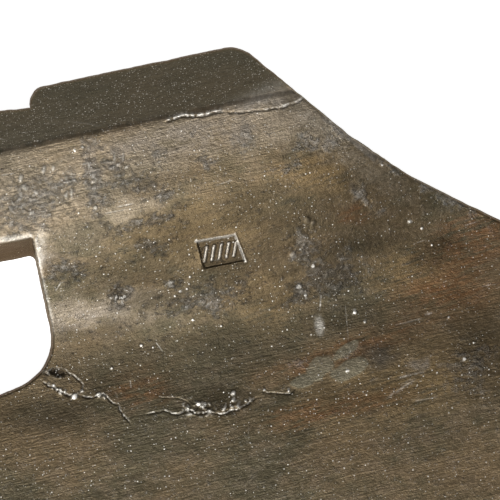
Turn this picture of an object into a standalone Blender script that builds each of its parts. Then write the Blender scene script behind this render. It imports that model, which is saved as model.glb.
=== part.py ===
"""Head of a forged side axe: one iron solid that lies on its flat back, +Z up, in metres.

The blade, neck and socket are one forging. The drawing frame of the script has x along the
handle, zero at the neck's wall in the notch and growing towards the toe, and y across it,
zero at the ridge of the socket and negative towards the cutting edge. The finished head is
placed with the middle of its outline over the world origin.
"""

import math

import bmesh
import bpy
import numpy as np
from mathutils import Quaternion, Vector
from mathutils.geometry import delaunay_2d_cdt

# Socket: lengths run along the handle and distances across it are from the ridge.
LUG_LENGTH = 0.033
LUG_BACK = 0.01265
LUG_SPREAD = 0.0031
LIP_DISTANCE = 0.033
UNDERSIDE_FLARE = 0.006
RIDGE_DRIFT = 0.030
RIDGE_CROSSING = 0.030
POLL_START = 0.0076
POLL_STEP = 0.0065
POLL_END = 0.0838
POLL_RISE = 0.0025
POLL_SLOPE = math.radians(51)
CANT_HEIGHT = 0.003

# Eye for the handle: the walls at the mouth, and what is left of its section at the exit.
EYE_WALL = 0.0065
EYE_CORNER = 0.005
EYE_EXIT_SCALE = 0.72
EYE_OVERRUN = 0.012

# Outline of the blade: corners as (x, y), and the radius that rounds each. The shoulders
# and the hollow keep their places beside the tips.
EDGE_LENGTH = 0.374
BLADE_DEPTH = 0.153
HEEL_REACH = 0.098
HEEL_TIP = (-HEEL_REACH, -BLADE_DEPTH)
TOE_TIP = (HEEL_TIP[0] + EDGE_LENGTH, HEEL_TIP[1] + 0.001)
TOE_SHOULDER = (TOE_TIP[0] - 0.029, TOE_TIP[1] + 0.0357)
TOE_BEND = (0.1341, -0.0334)
TOE_WAIST = (0.1160, -0.01575)
BEARD_BEND = (-0.0115, -0.0828)
HEEL_SHOULDER = (HEEL_TIP[0] + 0.025, HEEL_TIP[1] + 0.0573)
HEEL_HOLLOW = (HEEL_TIP[0] + 0.0175, HEEL_TIP[1] + 0.026)
NOTCH_DEPTH = 0.076
NECK_LEAN = 0.0013
EDGE_SAG = 0.0155
NOTCH_TOP_RADIUS = 0.0022
NOTCH_LIP_RADIUS = 0.0006
NOTCH_ROOT_RADIUS = 0.0178
POLL_RADIUS = 0.0064
POLL_END_RADIUS = 0.012
TOE_SHOULDER_RADIUS = 0.060
HEEL_SHOULDER_RADIUS = 0.022
HEEL_HOLLOW_RADIUS = 0.050
BLADE_BEND_RADIUS = 0.025
TIP_RADIUS = 0.0025
LUG_CORNER_RADIUS = 0.0025

# Faces: the plate under the ridge and at the grind line, and what the shoulder adds to it.
PLATE_AT_RIDGE = 0.0087
PLATE_TAPER = 0.0233
SHOULDER = (
    (0.000, 0.0293),
    (0.015, 0.0265),
    (0.033, 0.0219),
    (0.050, 0.0140),
    (0.066, 0.0056),
    (0.080, 0.0015),
    (0.095, 0.0),
)
FADE_START = 0.085
FADE_LENGTH = 0.120
TOE_BULK = 0.20
TOE_REACH = 0.60
BEVEL_WIDTH = 0.015
EDGE_THICKNESS = 0.0006
SIDE_DRAFT = 0.0006
NECK_DRAFT = 0.0010
WALL_FOLD_OUT = 0.42
WALL_FOLD_UP = 0.50

# Struck mark: a sunk field with plain upright strokes left standing in it.
MARK_CENTRE = (0.065, -0.0452)
MARK_SIZE = (0.0147, 0.0098)
MARK_DEPTH = 0.0006
PUNCH_HEIGHT = 6 * MARK_DEPTH
STROKE_COUNT = 4
STROKE_PITCH = 0.0033
STROKE_WIDTH = 0.0011
STROKE_LENGTH = 0.0058
STROKE_LEAN = math.radians(20)
MARK_TURN = math.radians(-1)

# Fineness of the faceted solid.
GRID_STEP = 0.007
GRID_CLEARANCE = 0.45 * GRID_STEP
OUTLINE_STEP = 0.008
FILLET_STEPS = 6
FILLET_SHARE = 0.98
EDGE_STEPS = 30
MERGE_MM = 1e-5
MM = 1000.0
SHARP_ANGLE = math.radians(12)

IRON_COLOUR = (0.105, 0.080, 0.055, 1.0)
IRON_ROUGHNESS = 0.45
IRON_METALLIC = 0.80


def clear_scene():
    for old in list(bpy.data.objects):
        bpy.data.objects.remove(old, do_unlink=True)


def smoothstep(t):
    t = np.clip(t, 0.0, 1.0)
    return t * t * (3.0 - 2.0 * t)


def smooth_curve(at, knots):
    """A smooth curve through (position, height) knots, level past the last one."""
    where, height = np.array(knots).T
    slope = np.gradient(height, where)
    slope[-1] = 0.0
    at = np.clip(at, where[0], where[-1])
    left = np.clip(np.searchsorted(where, at, side="right") - 1, 0, len(where) - 2)
    span = where[left + 1] - where[left]
    t = (at - where[left]) / span
    rise = (2 * t**3 - 3 * t**2 + 1) * height[left] + (3 * t**2 - 2 * t**3) * height[left + 1]
    lean = (t**3 - 2 * t**2 + t) * slope[left] + (t**3 - t**2) * slope[left + 1]
    return rise + lean * span


def ridge_line(x):
    """The ridge drifts towards the poll as it nears the toe."""
    return RIDGE_DRIFT * (x - RIDGE_CROSSING)


def edge_line(x):
    """The cutting edge: a shallow arc through the heel tip and the toe tip, bowed outwards."""
    middle = (HEEL_TIP[0] + TOE_TIP[0]) / 2
    half = (TOE_TIP[0] - HEEL_TIP[0]) / 2
    share = (x - HEEL_TIP[0]) / (TOE_TIP[0] - HEEL_TIP[0])
    chord = HEEL_TIP[1] + (TOE_TIP[1] - HEEL_TIP[1]) * share
    return chord - EDGE_SAG * (1.0 - ((x - middle) / half) ** 2)


def plate_height(x, y):
    """Height of the struck face below the ridge, before the cutting bevel."""
    down = np.maximum(ridge_line(x) - y, 0.0)
    fade = smoothstep((x - FADE_START) / FADE_LENGTH)
    reach = 1.0 - (1.0 - TOE_REACH) * fade
    bulk = 1.0 - (1.0 - TOE_BULK) * fade
    return PLATE_AT_RIDGE - PLATE_TAPER * down + bulk * smooth_curve(down / reach, SHOULDER)


def face_height(x, y):
    """Height of the whole upper face: poll facet, cheek, blade and cutting bevel."""
    past_ridge = np.maximum(y - ridge_line(x), 0.0)
    height = plate_height(x, y) - math.tan(POLL_SLOPE) * past_ridge
    from_edge = y - edge_line(x)
    at_grind = plate_height(x, edge_line(x) + BEVEL_WIDTH)
    bevel = EDGE_THICKNESS + (at_grind - EDGE_THICKNESS) * np.maximum(from_edge, 0.0) / BEVEL_WIDTH
    return np.where(from_edge < BEVEL_WIDTH, bevel, height)


def back_height(x, y):
    """The back is flat under the blade and lifts a little under the socket."""
    lift = (y + LIP_DISTANCE + UNDERSIDE_FLARE) / (LIP_DISTANCE + UNDERSIDE_FLARE + LUG_BACK)
    return CANT_HEIGHT * np.maximum(lift, 0.0)


def unit(vector):
    return vector / np.linalg.norm(vector)


def inset_corners(corners, drafts):
    """Moves each side of a counter-clockwise polygon inwards by its own draft."""
    moved = []
    for i, corner in enumerate(corners):
        before = unit(corner - corners[i - 1])
        after = unit(corners[(i + 1) % len(corners)] - corner)
        inward_before = np.array((-before[1], before[0]))
        inward_after = np.array((-after[1], after[0]))
        sides = np.array((inward_before, inward_after))
        if abs(np.linalg.det(sides)) < 1e-3:
            moved.append(corner + inward_after * max(drafts[i - 1], drafts[i]))
            continue
        moved.append(corner + np.linalg.solve(sides, (drafts[i - 1], drafts[i])))
    return np.array(moved)


def rounded(corners, radii):
    """Points of a polygon whose corners are rounded, the same number at every rounded corner."""
    count = len(corners)
    sides = np.linalg.norm(np.roll(corners, -1, axis=0) - corners, axis=1)
    half_angles = []
    cuts = []
    for i, corner in enumerate(corners):
        back = unit(corners[i - 1] - corner)
        on = unit(corners[(i + 1) % count] - corner)
        half_angles.append(math.acos(np.clip(back @ on, -1.0, 1.0)) / 2)
        cuts.append(radii[i] / math.tan(half_angles[i]))
    points = []
    for i, corner in enumerate(corners):
        if radii[i] == 0.0:
            points.append(corner)
            continue
        room_before = sides[i - 1] / max(cuts[i - 1] + cuts[i], sides[i - 1])
        room_after = sides[i] / max(cuts[i] + cuts[(i + 1) % count], sides[i])
        cut = cuts[i] * min(1.0, FILLET_SHARE * room_before, FILLET_SHARE * room_after)
        points += arc(corner, corners[i - 1], corners[(i + 1) % count], half_angles[i], cut)
    return np.array(points)


def arc(corner, before, after, half_angle, cut):
    """Points of the arc that leaves both sides of a corner at the same distance from it."""
    back = unit(before - corner)
    on = unit(after - corner)
    radius = cut * math.tan(half_angle)
    centre = corner + unit(back + on) * radius / math.sin(half_angle)
    first = corner + back * cut - centre
    last = corner + on * cut - centre
    turn = math.pi - 2 * half_angle
    points = []
    for step in range(FILLET_STEPS + 1):
        share = step / FILLET_STEPS
        mix = math.sin((1 - share) * turn) * first + math.sin(share * turn) * last
        points.append(centre + mix / math.sin(turn))
    return points


def outline_corners():
    """Corners of the outline, counter-clockwise from the toe tip.

    Each is (place on the back, radius on the back, radius on the face, draft of the side after it).
    """
    poll_back = LUG_BACK + POLL_STEP
    underside = -(LIP_DISTANCE + UNDERSIDE_FLARE)
    tip = (TIP_RADIUS, TIP_RADIUS)
    bend = (BLADE_BEND_RADIUS, BLADE_BEND_RADIUS)
    lug_corner = (LUG_CORNER_RADIUS, LUG_CORNER_RADIUS)
    rows = [
        (TOE_TIP, *tip, SIDE_DRAFT),
        (TOE_SHOULDER, TOE_SHOULDER_RADIUS, TOE_SHOULDER_RADIUS, SIDE_DRAFT),
        (TOE_BEND, *bend, SIDE_DRAFT),
        (TOE_WAIST, *bend, SIDE_DRAFT),
        ((POLL_END, poll_back + POLL_RISE), POLL_END_RADIUS, POLL_END_RADIUS, SIDE_DRAFT),
        ((POLL_START, poll_back), POLL_RADIUS, POLL_RADIUS, SIDE_DRAFT),
        ((POLL_START, LUG_BACK), 0.0, 0.0, SIDE_DRAFT),
        ((-LUG_LENGTH, LUG_BACK + LUG_SPREAD), *lug_corner, 0.0),
        ((-LUG_LENGTH, underside), *lug_corner, UNDERSIDE_FLARE),
        ((0.0, underside), NOTCH_TOP_RADIUS, NOTCH_LIP_RADIUS, NECK_DRAFT),
        ((NECK_LEAN, -NOTCH_DEPTH), NOTCH_ROOT_RADIUS, NOTCH_ROOT_RADIUS, SIDE_DRAFT),
        (BEARD_BEND, *bend, SIDE_DRAFT),
        (HEEL_SHOULDER, HEEL_SHOULDER_RADIUS, HEEL_SHOULDER_RADIUS, SIDE_DRAFT),
        (HEEL_HOLLOW, HEEL_HOLLOW_RADIUS, HEEL_HOLLOW_RADIUS, SIDE_DRAFT),
        (HEEL_TIP, *tip, 0.0),
    ]
    for step in range(1, EDGE_STEPS):
        x = HEEL_TIP[0] + (TOE_TIP[0] - HEEL_TIP[0]) * step / EDGE_STEPS
        rows.append(((x, float(edge_line(x))), 0.0, 0.0, 0.0))
    return rows


def outline_loops():
    """The back's outline and the face's outline, point for point, as rows of (back x, y, face x, y)."""
    rows = outline_corners()
    corners = np.array([row[0] for row in rows])
    drafts = [row[3] for row in rows]
    back = rounded(corners, [row[1] for row in rows])
    face = rounded(inset_corners(corners, drafts), [row[2] for row in rows])
    return split_long(np.hstack((back, face)))


def split_long(loops):
    """Adds points so that no stretch of the outline is longer than the outline step."""
    points = []
    for here, there in zip(loops, np.roll(loops, -1, axis=0)):
        pieces = max(1, math.ceil(np.linalg.norm(there[:2] - here[:2]) / OUTLINE_STEP))
        for piece in range(pieces):
            points.append(here + (there - here) * piece / pieces)
    return np.array(points)


def add_crossings(loops, columns, line):
    """Adds a point wherever the outline crosses a line, given as a function that is zero on it."""
    points = []
    for here, there in zip(loops, np.roll(loops, -1, axis=0)):
        points.append(here)
        a = float(line(*here[columns]))
        b = float(line(*there[columns]))
        if a * b < 0.0:
            points.append(here + (there - here) * a / (a - b))
    return np.array(points)


def crossing_points(loop, line):
    """The outline's own points that lie on a line, from the heel side to the toe side."""
    values = np.array([abs(float(line(x, y))) for x, y in loop])
    found = loop[np.argsort(values)[:2]]
    return found[np.argsort(found[:, 0])]


def crease_points(loop, line, height):
    """Points along a crease between its two ends on the outline. height gives its y at each x."""
    start, end = crossing_points(loop, line)
    count = max(2, math.ceil((end[0] - start[0]) / GRID_STEP))
    inner = [(x, float(height(x))) for x in np.linspace(start[0], end[0], count + 1)[1:-1]]
    return [tuple(start)] + inner + [tuple(end)]


def distance_to(points, path):
    """Distance from each point to a path of straight stretches."""
    nearest = np.full(len(points), np.inf)
    for a, b in zip(path[:-1], path[1:]):
        along = b - a
        length = max(along @ along, 1e-18)
        share = np.clip(((points - a) @ along) / length, 0.0, 1.0)
        gap = np.linalg.norm(points - (a + share[:, None] * along), axis=1)
        nearest = np.minimum(nearest, gap)
    return nearest


def inside(points, loop):
    """Which points lie inside a closed loop."""
    held = np.zeros(len(points), bool)
    for a, b in zip(loop, np.roll(loop, -1, axis=0)):
        if a[1] == b[1]:
            continue
        crosses = (a[1] > points[:, 1]) != (b[1] > points[:, 1])
        at = (b[0] - a[0]) * (points[:, 1] - a[1]) / (b[1] - a[1]) + a[0]
        held ^= crosses & (points[:, 0] < at)
    return held


def grid_points(loop, creases):
    """A staggered grid inside the loop, clear of the outline and the creases."""
    low = loop.min(axis=0)
    high = loop.max(axis=0)
    row_step = GRID_STEP * math.sqrt(3) / 2
    rows = []
    for number, y in enumerate(np.arange(low[1], high[1], row_step)):
        start = low[0] + (number % 2) * GRID_STEP / 2
        rows += [(x, y) for x in np.arange(start, high[0], GRID_STEP)]
    points = np.array(rows)
    points = points[inside(points, loop)]
    for path in [np.vstack((loop, loop[:1]))] + [np.array(crease) for crease in creases]:
        points = points[distance_to(points, path) > GRID_CLEARANCE]
    return points


def cap(loop, creases, loose):
    """Triangles that fill a loop, with edges along the creases: points, triangles and each loop point's index."""
    points = [tuple(p) for p in loop]
    count = len(points)
    edges = [(i, (i + 1) % count) for i in range(count)]
    for crease in creases:
        chain = []
        for point in crease:
            gaps = np.linalg.norm(np.array(points[:count]) - np.array(point), axis=1)
            if gaps.min() < 1e-9:
                chain.append(int(gaps.argmin()))
                continue
            points.append(tuple(point))
            chain.append(len(points) - 1)
        edges += list(zip(chain[:-1], chain[1:]))
    points += [tuple(p) for p in loose]
    scaled = [Vector((x * MM, y * MM)) for x, y in points]
    made, _, triangles, origins, _, _ = delaunay_2d_cdt(scaled, edges, [], 1, MERGE_MM)
    place = {}
    for index, sources in enumerate(origins):
        for source in sources:
            if source < count:
                place[source] = index
    flat = np.array([(p.x / MM, p.y / MM) for p in made])
    return flat, triangles, [place[i] for i in range(count)]


def head_mesh():
    """The closed forging before the eye and the mark are cut."""
    loops = outline_loops()

    def on_ridge(x, y):
        return y - ridge_line(x)

    def on_grind(x, y):
        return y - edge_line(x) - BEVEL_WIDTH

    loops = add_crossings(loops, [2, 3], on_ridge)
    loops = add_crossings(loops, [2, 3], on_grind)
    back_loop = loops[:, :2]
    face_loop = loops[:, 2:]
    ridge = crease_points(face_loop, on_ridge, ridge_line)
    grind = crease_points(face_loop, on_grind, lambda x: edge_line(x) + BEVEL_WIDTH)
    creases = [ridge, grind]

    shape = bmesh.new()
    top, top_faces, top_ring = cap(face_loop, creases, grid_points(face_loop, creases))
    top_z = face_height(top[:, 0], top[:, 1])
    top_verts = [shape.verts.new((x, y, z)) for (x, y), z in zip(top, top_z)]
    for a, b, c in top_faces:
        shape.faces.new((top_verts[a], top_verts[b], top_verts[c]))

    under, under_faces, under_ring = cap(back_loop, [], grid_points(back_loop, []))
    under_z = back_height(under[:, 0], under[:, 1])
    under_verts = [shape.verts.new((x, y, z)) for (x, y), z in zip(under, under_z)]
    for a, b, c in under_faces:
        shape.faces.new((under_verts[c], under_verts[b], under_verts[a]))

    upper = [top_verts[i] for i in top_ring]
    lower = [under_verts[i] for i in under_ring]
    fold = []
    for high, low in zip(upper, lower):
        out = high.co + (low.co - high.co) * WALL_FOLD_OUT
        up = low.co.z + (high.co.z - low.co.z) * WALL_FOLD_UP
        fold.append(shape.verts.new((out.x, out.y, up)))
    for ring, above in ((lower, fold), (fold, upper)):
        for i in range(len(ring)):
            j = (i + 1) % len(ring)
            shape.faces.new((ring[i], ring[j], above[j], above[i]))
    bmesh.ops.recalc_face_normals(shape, faces=shape.faces)
    mesh = bpy.data.meshes.new("axe_head")
    shape.to_mesh(mesh)
    shape.free()
    return mesh


def socket_section():
    """Corners of the lug's end, as (y, z), counter-clockwise seen from the toe."""
    x = -LUG_LENGTH
    ridge = float(ridge_line(x))
    front = -(LIP_DISTANCE + UNDERSIDE_FLARE)
    rear = LUG_BACK + LUG_SPREAD
    corners = [
        (front, 0.0),
        (rear, float(back_height(x, rear))),
        (rear, float(face_height(x, rear))),
        (ridge, float(face_height(x, ridge))),
        (-LIP_DISTANCE, float(face_height(x, -LIP_DISTANCE))),
    ]
    return np.array(corners)


def eye_cutter():
    """A tapering bar of the eye's section, from past the mouth to past the slanted exit."""
    walls = [EYE_WALL] * 5
    section = rounded(inset_corners(socket_section(), walls), [EYE_CORNER] * 5)
    floor = (section.min(axis=0) + section.max(axis=0)) / 2
    floor[1] = section[:, 1].min()
    length = TOE_BEND[0] + LUG_LENGTH
    stations = ((-EYE_OVERRUN, -EYE_OVERRUN / length), (length, 1.0))
    shape = bmesh.new()
    rings = []
    for along, share in stations:
        scale = 1.0 - (1.0 - EYE_EXIT_SCALE) * share
        ring = floor + (section - floor) * scale
        x = -LUG_LENGTH + along
        rings.append([shape.verts.new((x, y, z)) for y, z in ring])
    count = len(section)
    for i in range(count):
        j = (i + 1) % count
        shape.faces.new((rings[0][i], rings[0][j], rings[1][j], rings[1][i]))
    shape.faces.new(rings[0])
    shape.faces.new(rings[1])
    bmesh.ops.recalc_face_normals(shape, faces=shape.faces)
    return add_object("eye_cutter", shape)


def box(shape, centre, size, lean=0.0):
    """A box, leaning in its own plane by an angle."""
    made = bmesh.ops.create_cube(shape, size=1.0)["verts"]
    c, s = math.cos(lean), math.sin(lean)
    for vert in made:
        x, y, z = (vert.co[k] * size[k] for k in range(3))
        vert.co = (centre[0] + c * x - s * y, centre[1] + s * x + c * y, centre[2] + z)


def mark_cutters():
    """The punch that sinks the field, and the strokes that it leaves standing."""
    field = bmesh.new()
    box(field, (0.0, 0.0, PUNCH_HEIGHT / 2 - MARK_DEPTH), (*MARK_SIZE, PUNCH_HEIGHT))
    strokes = bmesh.new()
    for number in range(STROKE_COUNT):
        x = (number - (STROKE_COUNT - 1) / 2) * STROKE_PITCH
        box(strokes, (x, 0.0, 0.0), (STROKE_WIDTH, STROKE_LENGTH, 4 * PUNCH_HEIGHT), STROKE_LEAN)
    punch = add_object("mark_cutter", field)
    left = add_object("mark_strokes", strokes)
    subtract(punch, left)
    x, y = MARK_CENTRE
    step = MARK_SIZE[1] / 2
    rise_x = face_height(x + step, y) - face_height(x - step, y)
    rise_y = face_height(x, y + step) - face_height(x, y - step)
    up = Vector((0.0, 0.0, 1.0))
    normal = Vector((-rise_x, -rise_y, 2 * step)).normalized()
    turn = up.rotation_difference(normal) @ Quaternion(up, MARK_TURN)
    for cutter in (punch, left):
        cutter.rotation_mode = "QUATERNION"
        cutter.rotation_quaternion = turn
        cutter.location = (x, y, float(face_height(x, y)))
    return punch, left


def add_object(name, shape):
    mesh = bpy.data.meshes.new(name)
    shape.to_mesh(mesh)
    shape.free()
    made = bpy.data.objects.new(name, mesh)
    bpy.context.scene.collection.objects.link(made)
    return made


def subtract(body, cutter):
    cut = body.modifiers.new("cut_" + cutter.name, "BOOLEAN")
    cut.operation = "DIFFERENCE"
    cut.object = cutter
    cutter.hide_render = True
    cutter.display_type = "WIRE"


def iron():
    material = bpy.data.materials.new("forged_iron")
    material.use_nodes = True
    shader = material.node_tree.nodes["Principled BSDF"]
    shader.inputs["Base Color"].default_value = IRON_COLOUR
    shader.inputs["Roughness"].default_value = IRON_ROUGHNESS
    shader.inputs["Metallic"].default_value = IRON_METALLIC
    material.diffuse_color = IRON_COLOUR
    return material


def build():
    clear_scene()
    mesh = head_mesh()
    mesh.shade_smooth()
    mesh.set_sharp_from_angle(angle=SHARP_ANGLE)
    mesh.materials.append(iron())
    head = bpy.data.objects.new("axe_head", mesh)
    bpy.context.scene.collection.objects.link(head)
    outline = outline_loops()[:, :2]
    middle = (outline.min(axis=0) + outline.max(axis=0)) / 2
    head.location = (-middle[0], -middle[1], 0.0)
    for cutter in (eye_cutter(), *mark_cutters()):
        cutter.parent = head
        if cutter.name != "mark_strokes":
            subtract(head, cutter)


build()
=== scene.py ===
"""Looks of the forged side axe head: the hammered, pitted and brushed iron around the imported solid.

One dense mesh repeats the outline and the heights of the CAD source and adds what the solid
leaves out: rounded rims, forging marks, pits, weld seams, slag, scratches and the struck mark.
Lengths are millimetres in the drawing frame of the source until the mesh is placed: x along the
handle from the notch's wall, y across it from the ridge, z up from the flat back.
"""

import math
from functools import reduce

import bpy
import numpy as np
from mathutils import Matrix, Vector
from mathutils.geometry import delaunay_2d_cdt
from mathutils.kdtree import KDTree

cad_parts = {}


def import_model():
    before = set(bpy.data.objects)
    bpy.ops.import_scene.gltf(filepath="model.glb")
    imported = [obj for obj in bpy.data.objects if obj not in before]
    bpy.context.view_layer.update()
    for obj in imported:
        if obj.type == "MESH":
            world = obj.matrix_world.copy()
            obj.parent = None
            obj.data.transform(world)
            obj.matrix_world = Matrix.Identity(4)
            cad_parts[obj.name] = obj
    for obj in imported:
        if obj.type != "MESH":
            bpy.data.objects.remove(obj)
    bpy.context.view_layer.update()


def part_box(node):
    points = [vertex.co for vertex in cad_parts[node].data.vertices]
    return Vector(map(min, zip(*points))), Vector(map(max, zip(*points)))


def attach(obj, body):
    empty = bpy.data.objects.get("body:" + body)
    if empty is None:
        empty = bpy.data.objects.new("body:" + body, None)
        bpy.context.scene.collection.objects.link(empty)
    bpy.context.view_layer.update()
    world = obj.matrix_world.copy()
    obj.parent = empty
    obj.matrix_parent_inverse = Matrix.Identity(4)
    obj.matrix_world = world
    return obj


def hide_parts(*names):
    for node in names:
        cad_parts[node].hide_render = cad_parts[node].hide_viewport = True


# How the photograph lies over the drawing frame.
PIXEL = 0.35
PHOTO_TURN = math.radians(10)
PHOTO_MIDDLE = (75.0, -50.0)
PHOTO_SIZE = 500

# Socket, as in the CAD source.
LUG_LENGTH = 33.0
LUG_BACK = 12.65
LUG_SPREAD = 3.1
LIP_DISTANCE = 33.0
UNDERSIDE_FLARE = 6.0
RIDGE_DRIFT = 0.030
RIDGE_CROSSING = 30.0
POLL_START = 7.6
POLL_STEP = 6.5
POLL_END = 83.8
POLL_RISE = 2.5
POLL_SLOPE = math.radians(51)
CANT_HEIGHT = 3.0

# Eye for the handle, as in the CAD source.
EYE_WALL = 6.5
EYE_CORNER = 5.0
EYE_EXIT_SCALE = 0.72
EYE_OVERRUN = 12.0

# Outline of the blade, as in the CAD source.
EDGE_LENGTH = 374.0
BLADE_DEPTH = 153.0
HEEL_REACH = 98.0
HEEL_TIP = (-HEEL_REACH, -BLADE_DEPTH)
TOE_TIP = (HEEL_TIP[0] + EDGE_LENGTH, HEEL_TIP[1] + 1.0)
TOE_SHOULDER = (TOE_TIP[0] - 29.0, TOE_TIP[1] + 35.7)
TOE_BEND = (134.1, -33.4)
TOE_WAIST = (116.0, -15.75)
BEARD_BEND = (-11.5, -82.8)
HEEL_SHOULDER = (HEEL_TIP[0] + 25.0, HEEL_TIP[1] + 57.3)
HEEL_HOLLOW = (HEEL_TIP[0] + 17.5, HEEL_TIP[1] + 26.0)
NOTCH_DEPTH = 76.0
NECK_LEAN = 1.3
EDGE_SAG = 15.5
NOTCH_TOP_RADIUS = 2.2
NOTCH_LIP_RADIUS = 0.6
NOTCH_ROOT_RADIUS = 17.8
POLL_RADIUS = 6.4
POLL_END_RADIUS = 12.0
TOE_SHOULDER_RADIUS = 60.0
HEEL_SHOULDER_RADIUS = 22.0
HEEL_HOLLOW_RADIUS = 50.0
BLADE_BEND_RADIUS = 25.0
TIP_RADIUS = 2.5
LUG_CORNER_RADIUS = 2.5

# Faces, as in the CAD source.
PLATE_AT_RIDGE = 8.7
PLATE_TAPER = 0.0233
SHOULDER = (
    (0.0, 29.3),
    (15.0, 26.5),
    (33.0, 21.9),
    (50.0, 14.0),
    (66.0, 5.6),
    (80.0, 1.5),
    (95.0, 0.0),
)
FADE_START = 85.0
FADE_LENGTH = 120.0
TOE_BULK = 0.20
TOE_REACH = 0.60
BEVEL_WIDTH = 15.0
EDGE_THICKNESS = 0.6
SIDE_DRAFT = 0.6
NECK_DRAFT = 1.0
WALL_FOLD_OUT = 0.42
WALL_FOLD_UP = 0.50

# Softness and rounding of the forged edges, in millimetres, steps and shares.
RIDGE_SOFTNESS = 0.9
GRIND_SOFTNESS = 0.5
RIM_RADIUS = 0.8
RIM_STEPS = 4
FILLET_STEPS = 10
FILLET_SHARE = 0.98
RIM_SHARE = 0.3
WALL_SHARES = (0.33, 0.66)

# Spacing of the mesh.
FINE_STEP = 0.82
MIDDLE_STEP = 1.4
COARSE_STEP = 2.6
RIDGE_ROWS = (-1.6, -0.8, 0.0, 0.8, 1.6)
GRIND_ROWS = (-0.7, 0.0, 0.7)
SEAM_ROWS = (-1.2, -0.85, -0.55, -0.32, -0.1, 0.12, 0.35, 0.62, 1.0)
SCRATCH_ROWS = (-0.5, -0.25, 0.0, 0.25, 0.5)
BACK_STEP = 3.5
OUTLINE_FINE = 0.7
OUTLINE_COARSE = 1.8
LINE_POINTS = 240
RIDGE_SPACING = 0.8
GRIND_SPACING = 1.6
SEAM_SPACING = 0.35
LINE_CLEARANCE = 0.2
LINE_GAP = 0.16
POINT_GAP = 0.12
BEAD_MARGIN = 0.8
BEAD_RINGS = (0.45, 0.8, 1.05)
LOOP_CLEARANCE = 0.35
MERGE = 1e-4

# The photograph's window: its soft border in millimetres, and how far in the finer meshes begin.
WINDOW_FADE = 12.0
MIDDLE_FROM = 0.25
FINE_FROM = 0.9

# Factors that scramble the cells of the noise, and its gain.
HASH_COLUMN = 127.1
HASH_ROW = 311.7
HASH_SEED = 74.7
HASH_SCALE = 43758.5453
NOISE_GAIN = 1.6

# How far above the back the marks of the face begin.
BACK_MARGIN = 1.0


def photo_point(px, py):
    """The drawing frame's x and y under a pixel of the photograph."""
    right = (px - PHOTO_SIZE / 2) * PIXEL
    up = (PHOTO_SIZE / 2 - py) * PIXEL
    c, s = math.cos(PHOTO_TURN), math.sin(PHOTO_TURN)
    return PHOTO_MIDDLE[0] + right * c + up * s, PHOTO_MIDDLE[1] - right * s + up * c


def photo_pixel(x, y):
    """The photograph's pixel over points of the drawing frame."""
    along = x - PHOTO_MIDDLE[0]
    across = y - PHOTO_MIDDLE[1]
    c, s = math.cos(PHOTO_TURN), math.sin(PHOTO_TURN)
    right = along * c - across * s
    up = along * s + across * c
    return PHOTO_SIZE / 2 + right / PIXEL, PHOTO_SIZE / 2 - up / PIXEL


def smoothstep(t):
    t = np.clip(t, 0.0, 1.0)
    return t * t * (3.0 - 2.0 * t)


def smooth_curve(at, knots):
    """A smooth curve through (position, height) knots, level past the last one."""
    where, height = np.array(knots).T
    slope = np.gradient(height, where)
    slope[-1] = 0.0
    at = np.clip(at, where[0], where[-1])
    left = np.clip(np.searchsorted(where, at, side="right") - 1, 0, len(where) - 2)
    span = where[left + 1] - where[left]
    t = (at - where[left]) / span
    rise = (2 * t**3 - 3 * t**2 + 1) * height[left] + (3 * t**2 - 2 * t**3) * height[left + 1]
    lean = (t**3 - 2 * t**2 + t) * slope[left] + (t**3 - t**2) * slope[left + 1]
    return rise + lean * span


def soft_above(distance, softness):
    """Zero below zero and the distance above it, with a rounded corner between."""
    return (distance + np.sqrt(distance**2 + softness**2)) / 2


def ridge_line(x):
    return RIDGE_DRIFT * (x - RIDGE_CROSSING)


def edge_line(x):
    middle = (HEEL_TIP[0] + TOE_TIP[0]) / 2
    half = (TOE_TIP[0] - HEEL_TIP[0]) / 2
    share = (x - HEEL_TIP[0]) / (TOE_TIP[0] - HEEL_TIP[0])
    chord = HEEL_TIP[1] + (TOE_TIP[1] - HEEL_TIP[1]) * share
    return chord - EDGE_SAG * (1.0 - ((x - middle) / half) ** 2)


def plate_height(x, y):
    down = np.maximum(ridge_line(x) - y, 0.0)
    fade = smoothstep((x - FADE_START) / FADE_LENGTH)
    reach = 1.0 - (1.0 - TOE_REACH) * fade
    bulk = 1.0 - (1.0 - TOE_BULK) * fade
    return PLATE_AT_RIDGE - PLATE_TAPER * down + bulk * smooth_curve(down / reach, SHOULDER)


def face_height(x, y):
    """Height of the upper face, with its ridge and its grind line softened."""
    past_ridge = soft_above(y - ridge_line(x), RIDGE_SOFTNESS)
    height = plate_height(x, y) - math.tan(POLL_SLOPE) * past_ridge
    from_edge = np.maximum(y - edge_line(x), 0.0)
    at_grind = plate_height(x, edge_line(x) + BEVEL_WIDTH)
    fall = (at_grind - EDGE_THICKNESS) / BEVEL_WIDTH
    return height - fall * soft_above(BEVEL_WIDTH - from_edge, GRIND_SOFTNESS)


def back_height(x, y):
    lift = (y + LIP_DISTANCE + UNDERSIDE_FLARE) / (LIP_DISTANCE + UNDERSIDE_FLARE + LUG_BACK)
    return CANT_HEIGHT * np.maximum(lift, 0.0)


def unit(vector):
    return vector / np.linalg.norm(vector)


def inset_corners(corners, drafts):
    """Moves each side of a counter-clockwise polygon inwards by its own draft."""
    moved = []
    for i, corner in enumerate(corners):
        before = unit(corner - corners[i - 1])
        after = unit(corners[(i + 1) % len(corners)] - corner)
        inward_before = np.array((-before[1], before[0]))
        inward_after = np.array((-after[1], after[0]))
        sides = np.array((inward_before, inward_after))
        if abs(np.linalg.det(sides)) < 1e-3:
            moved.append(corner + inward_after * max(drafts[i - 1], drafts[i]))
            continue
        moved.append(corner + np.linalg.solve(sides, (drafts[i - 1], drafts[i])))
    return np.array(moved)


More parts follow.
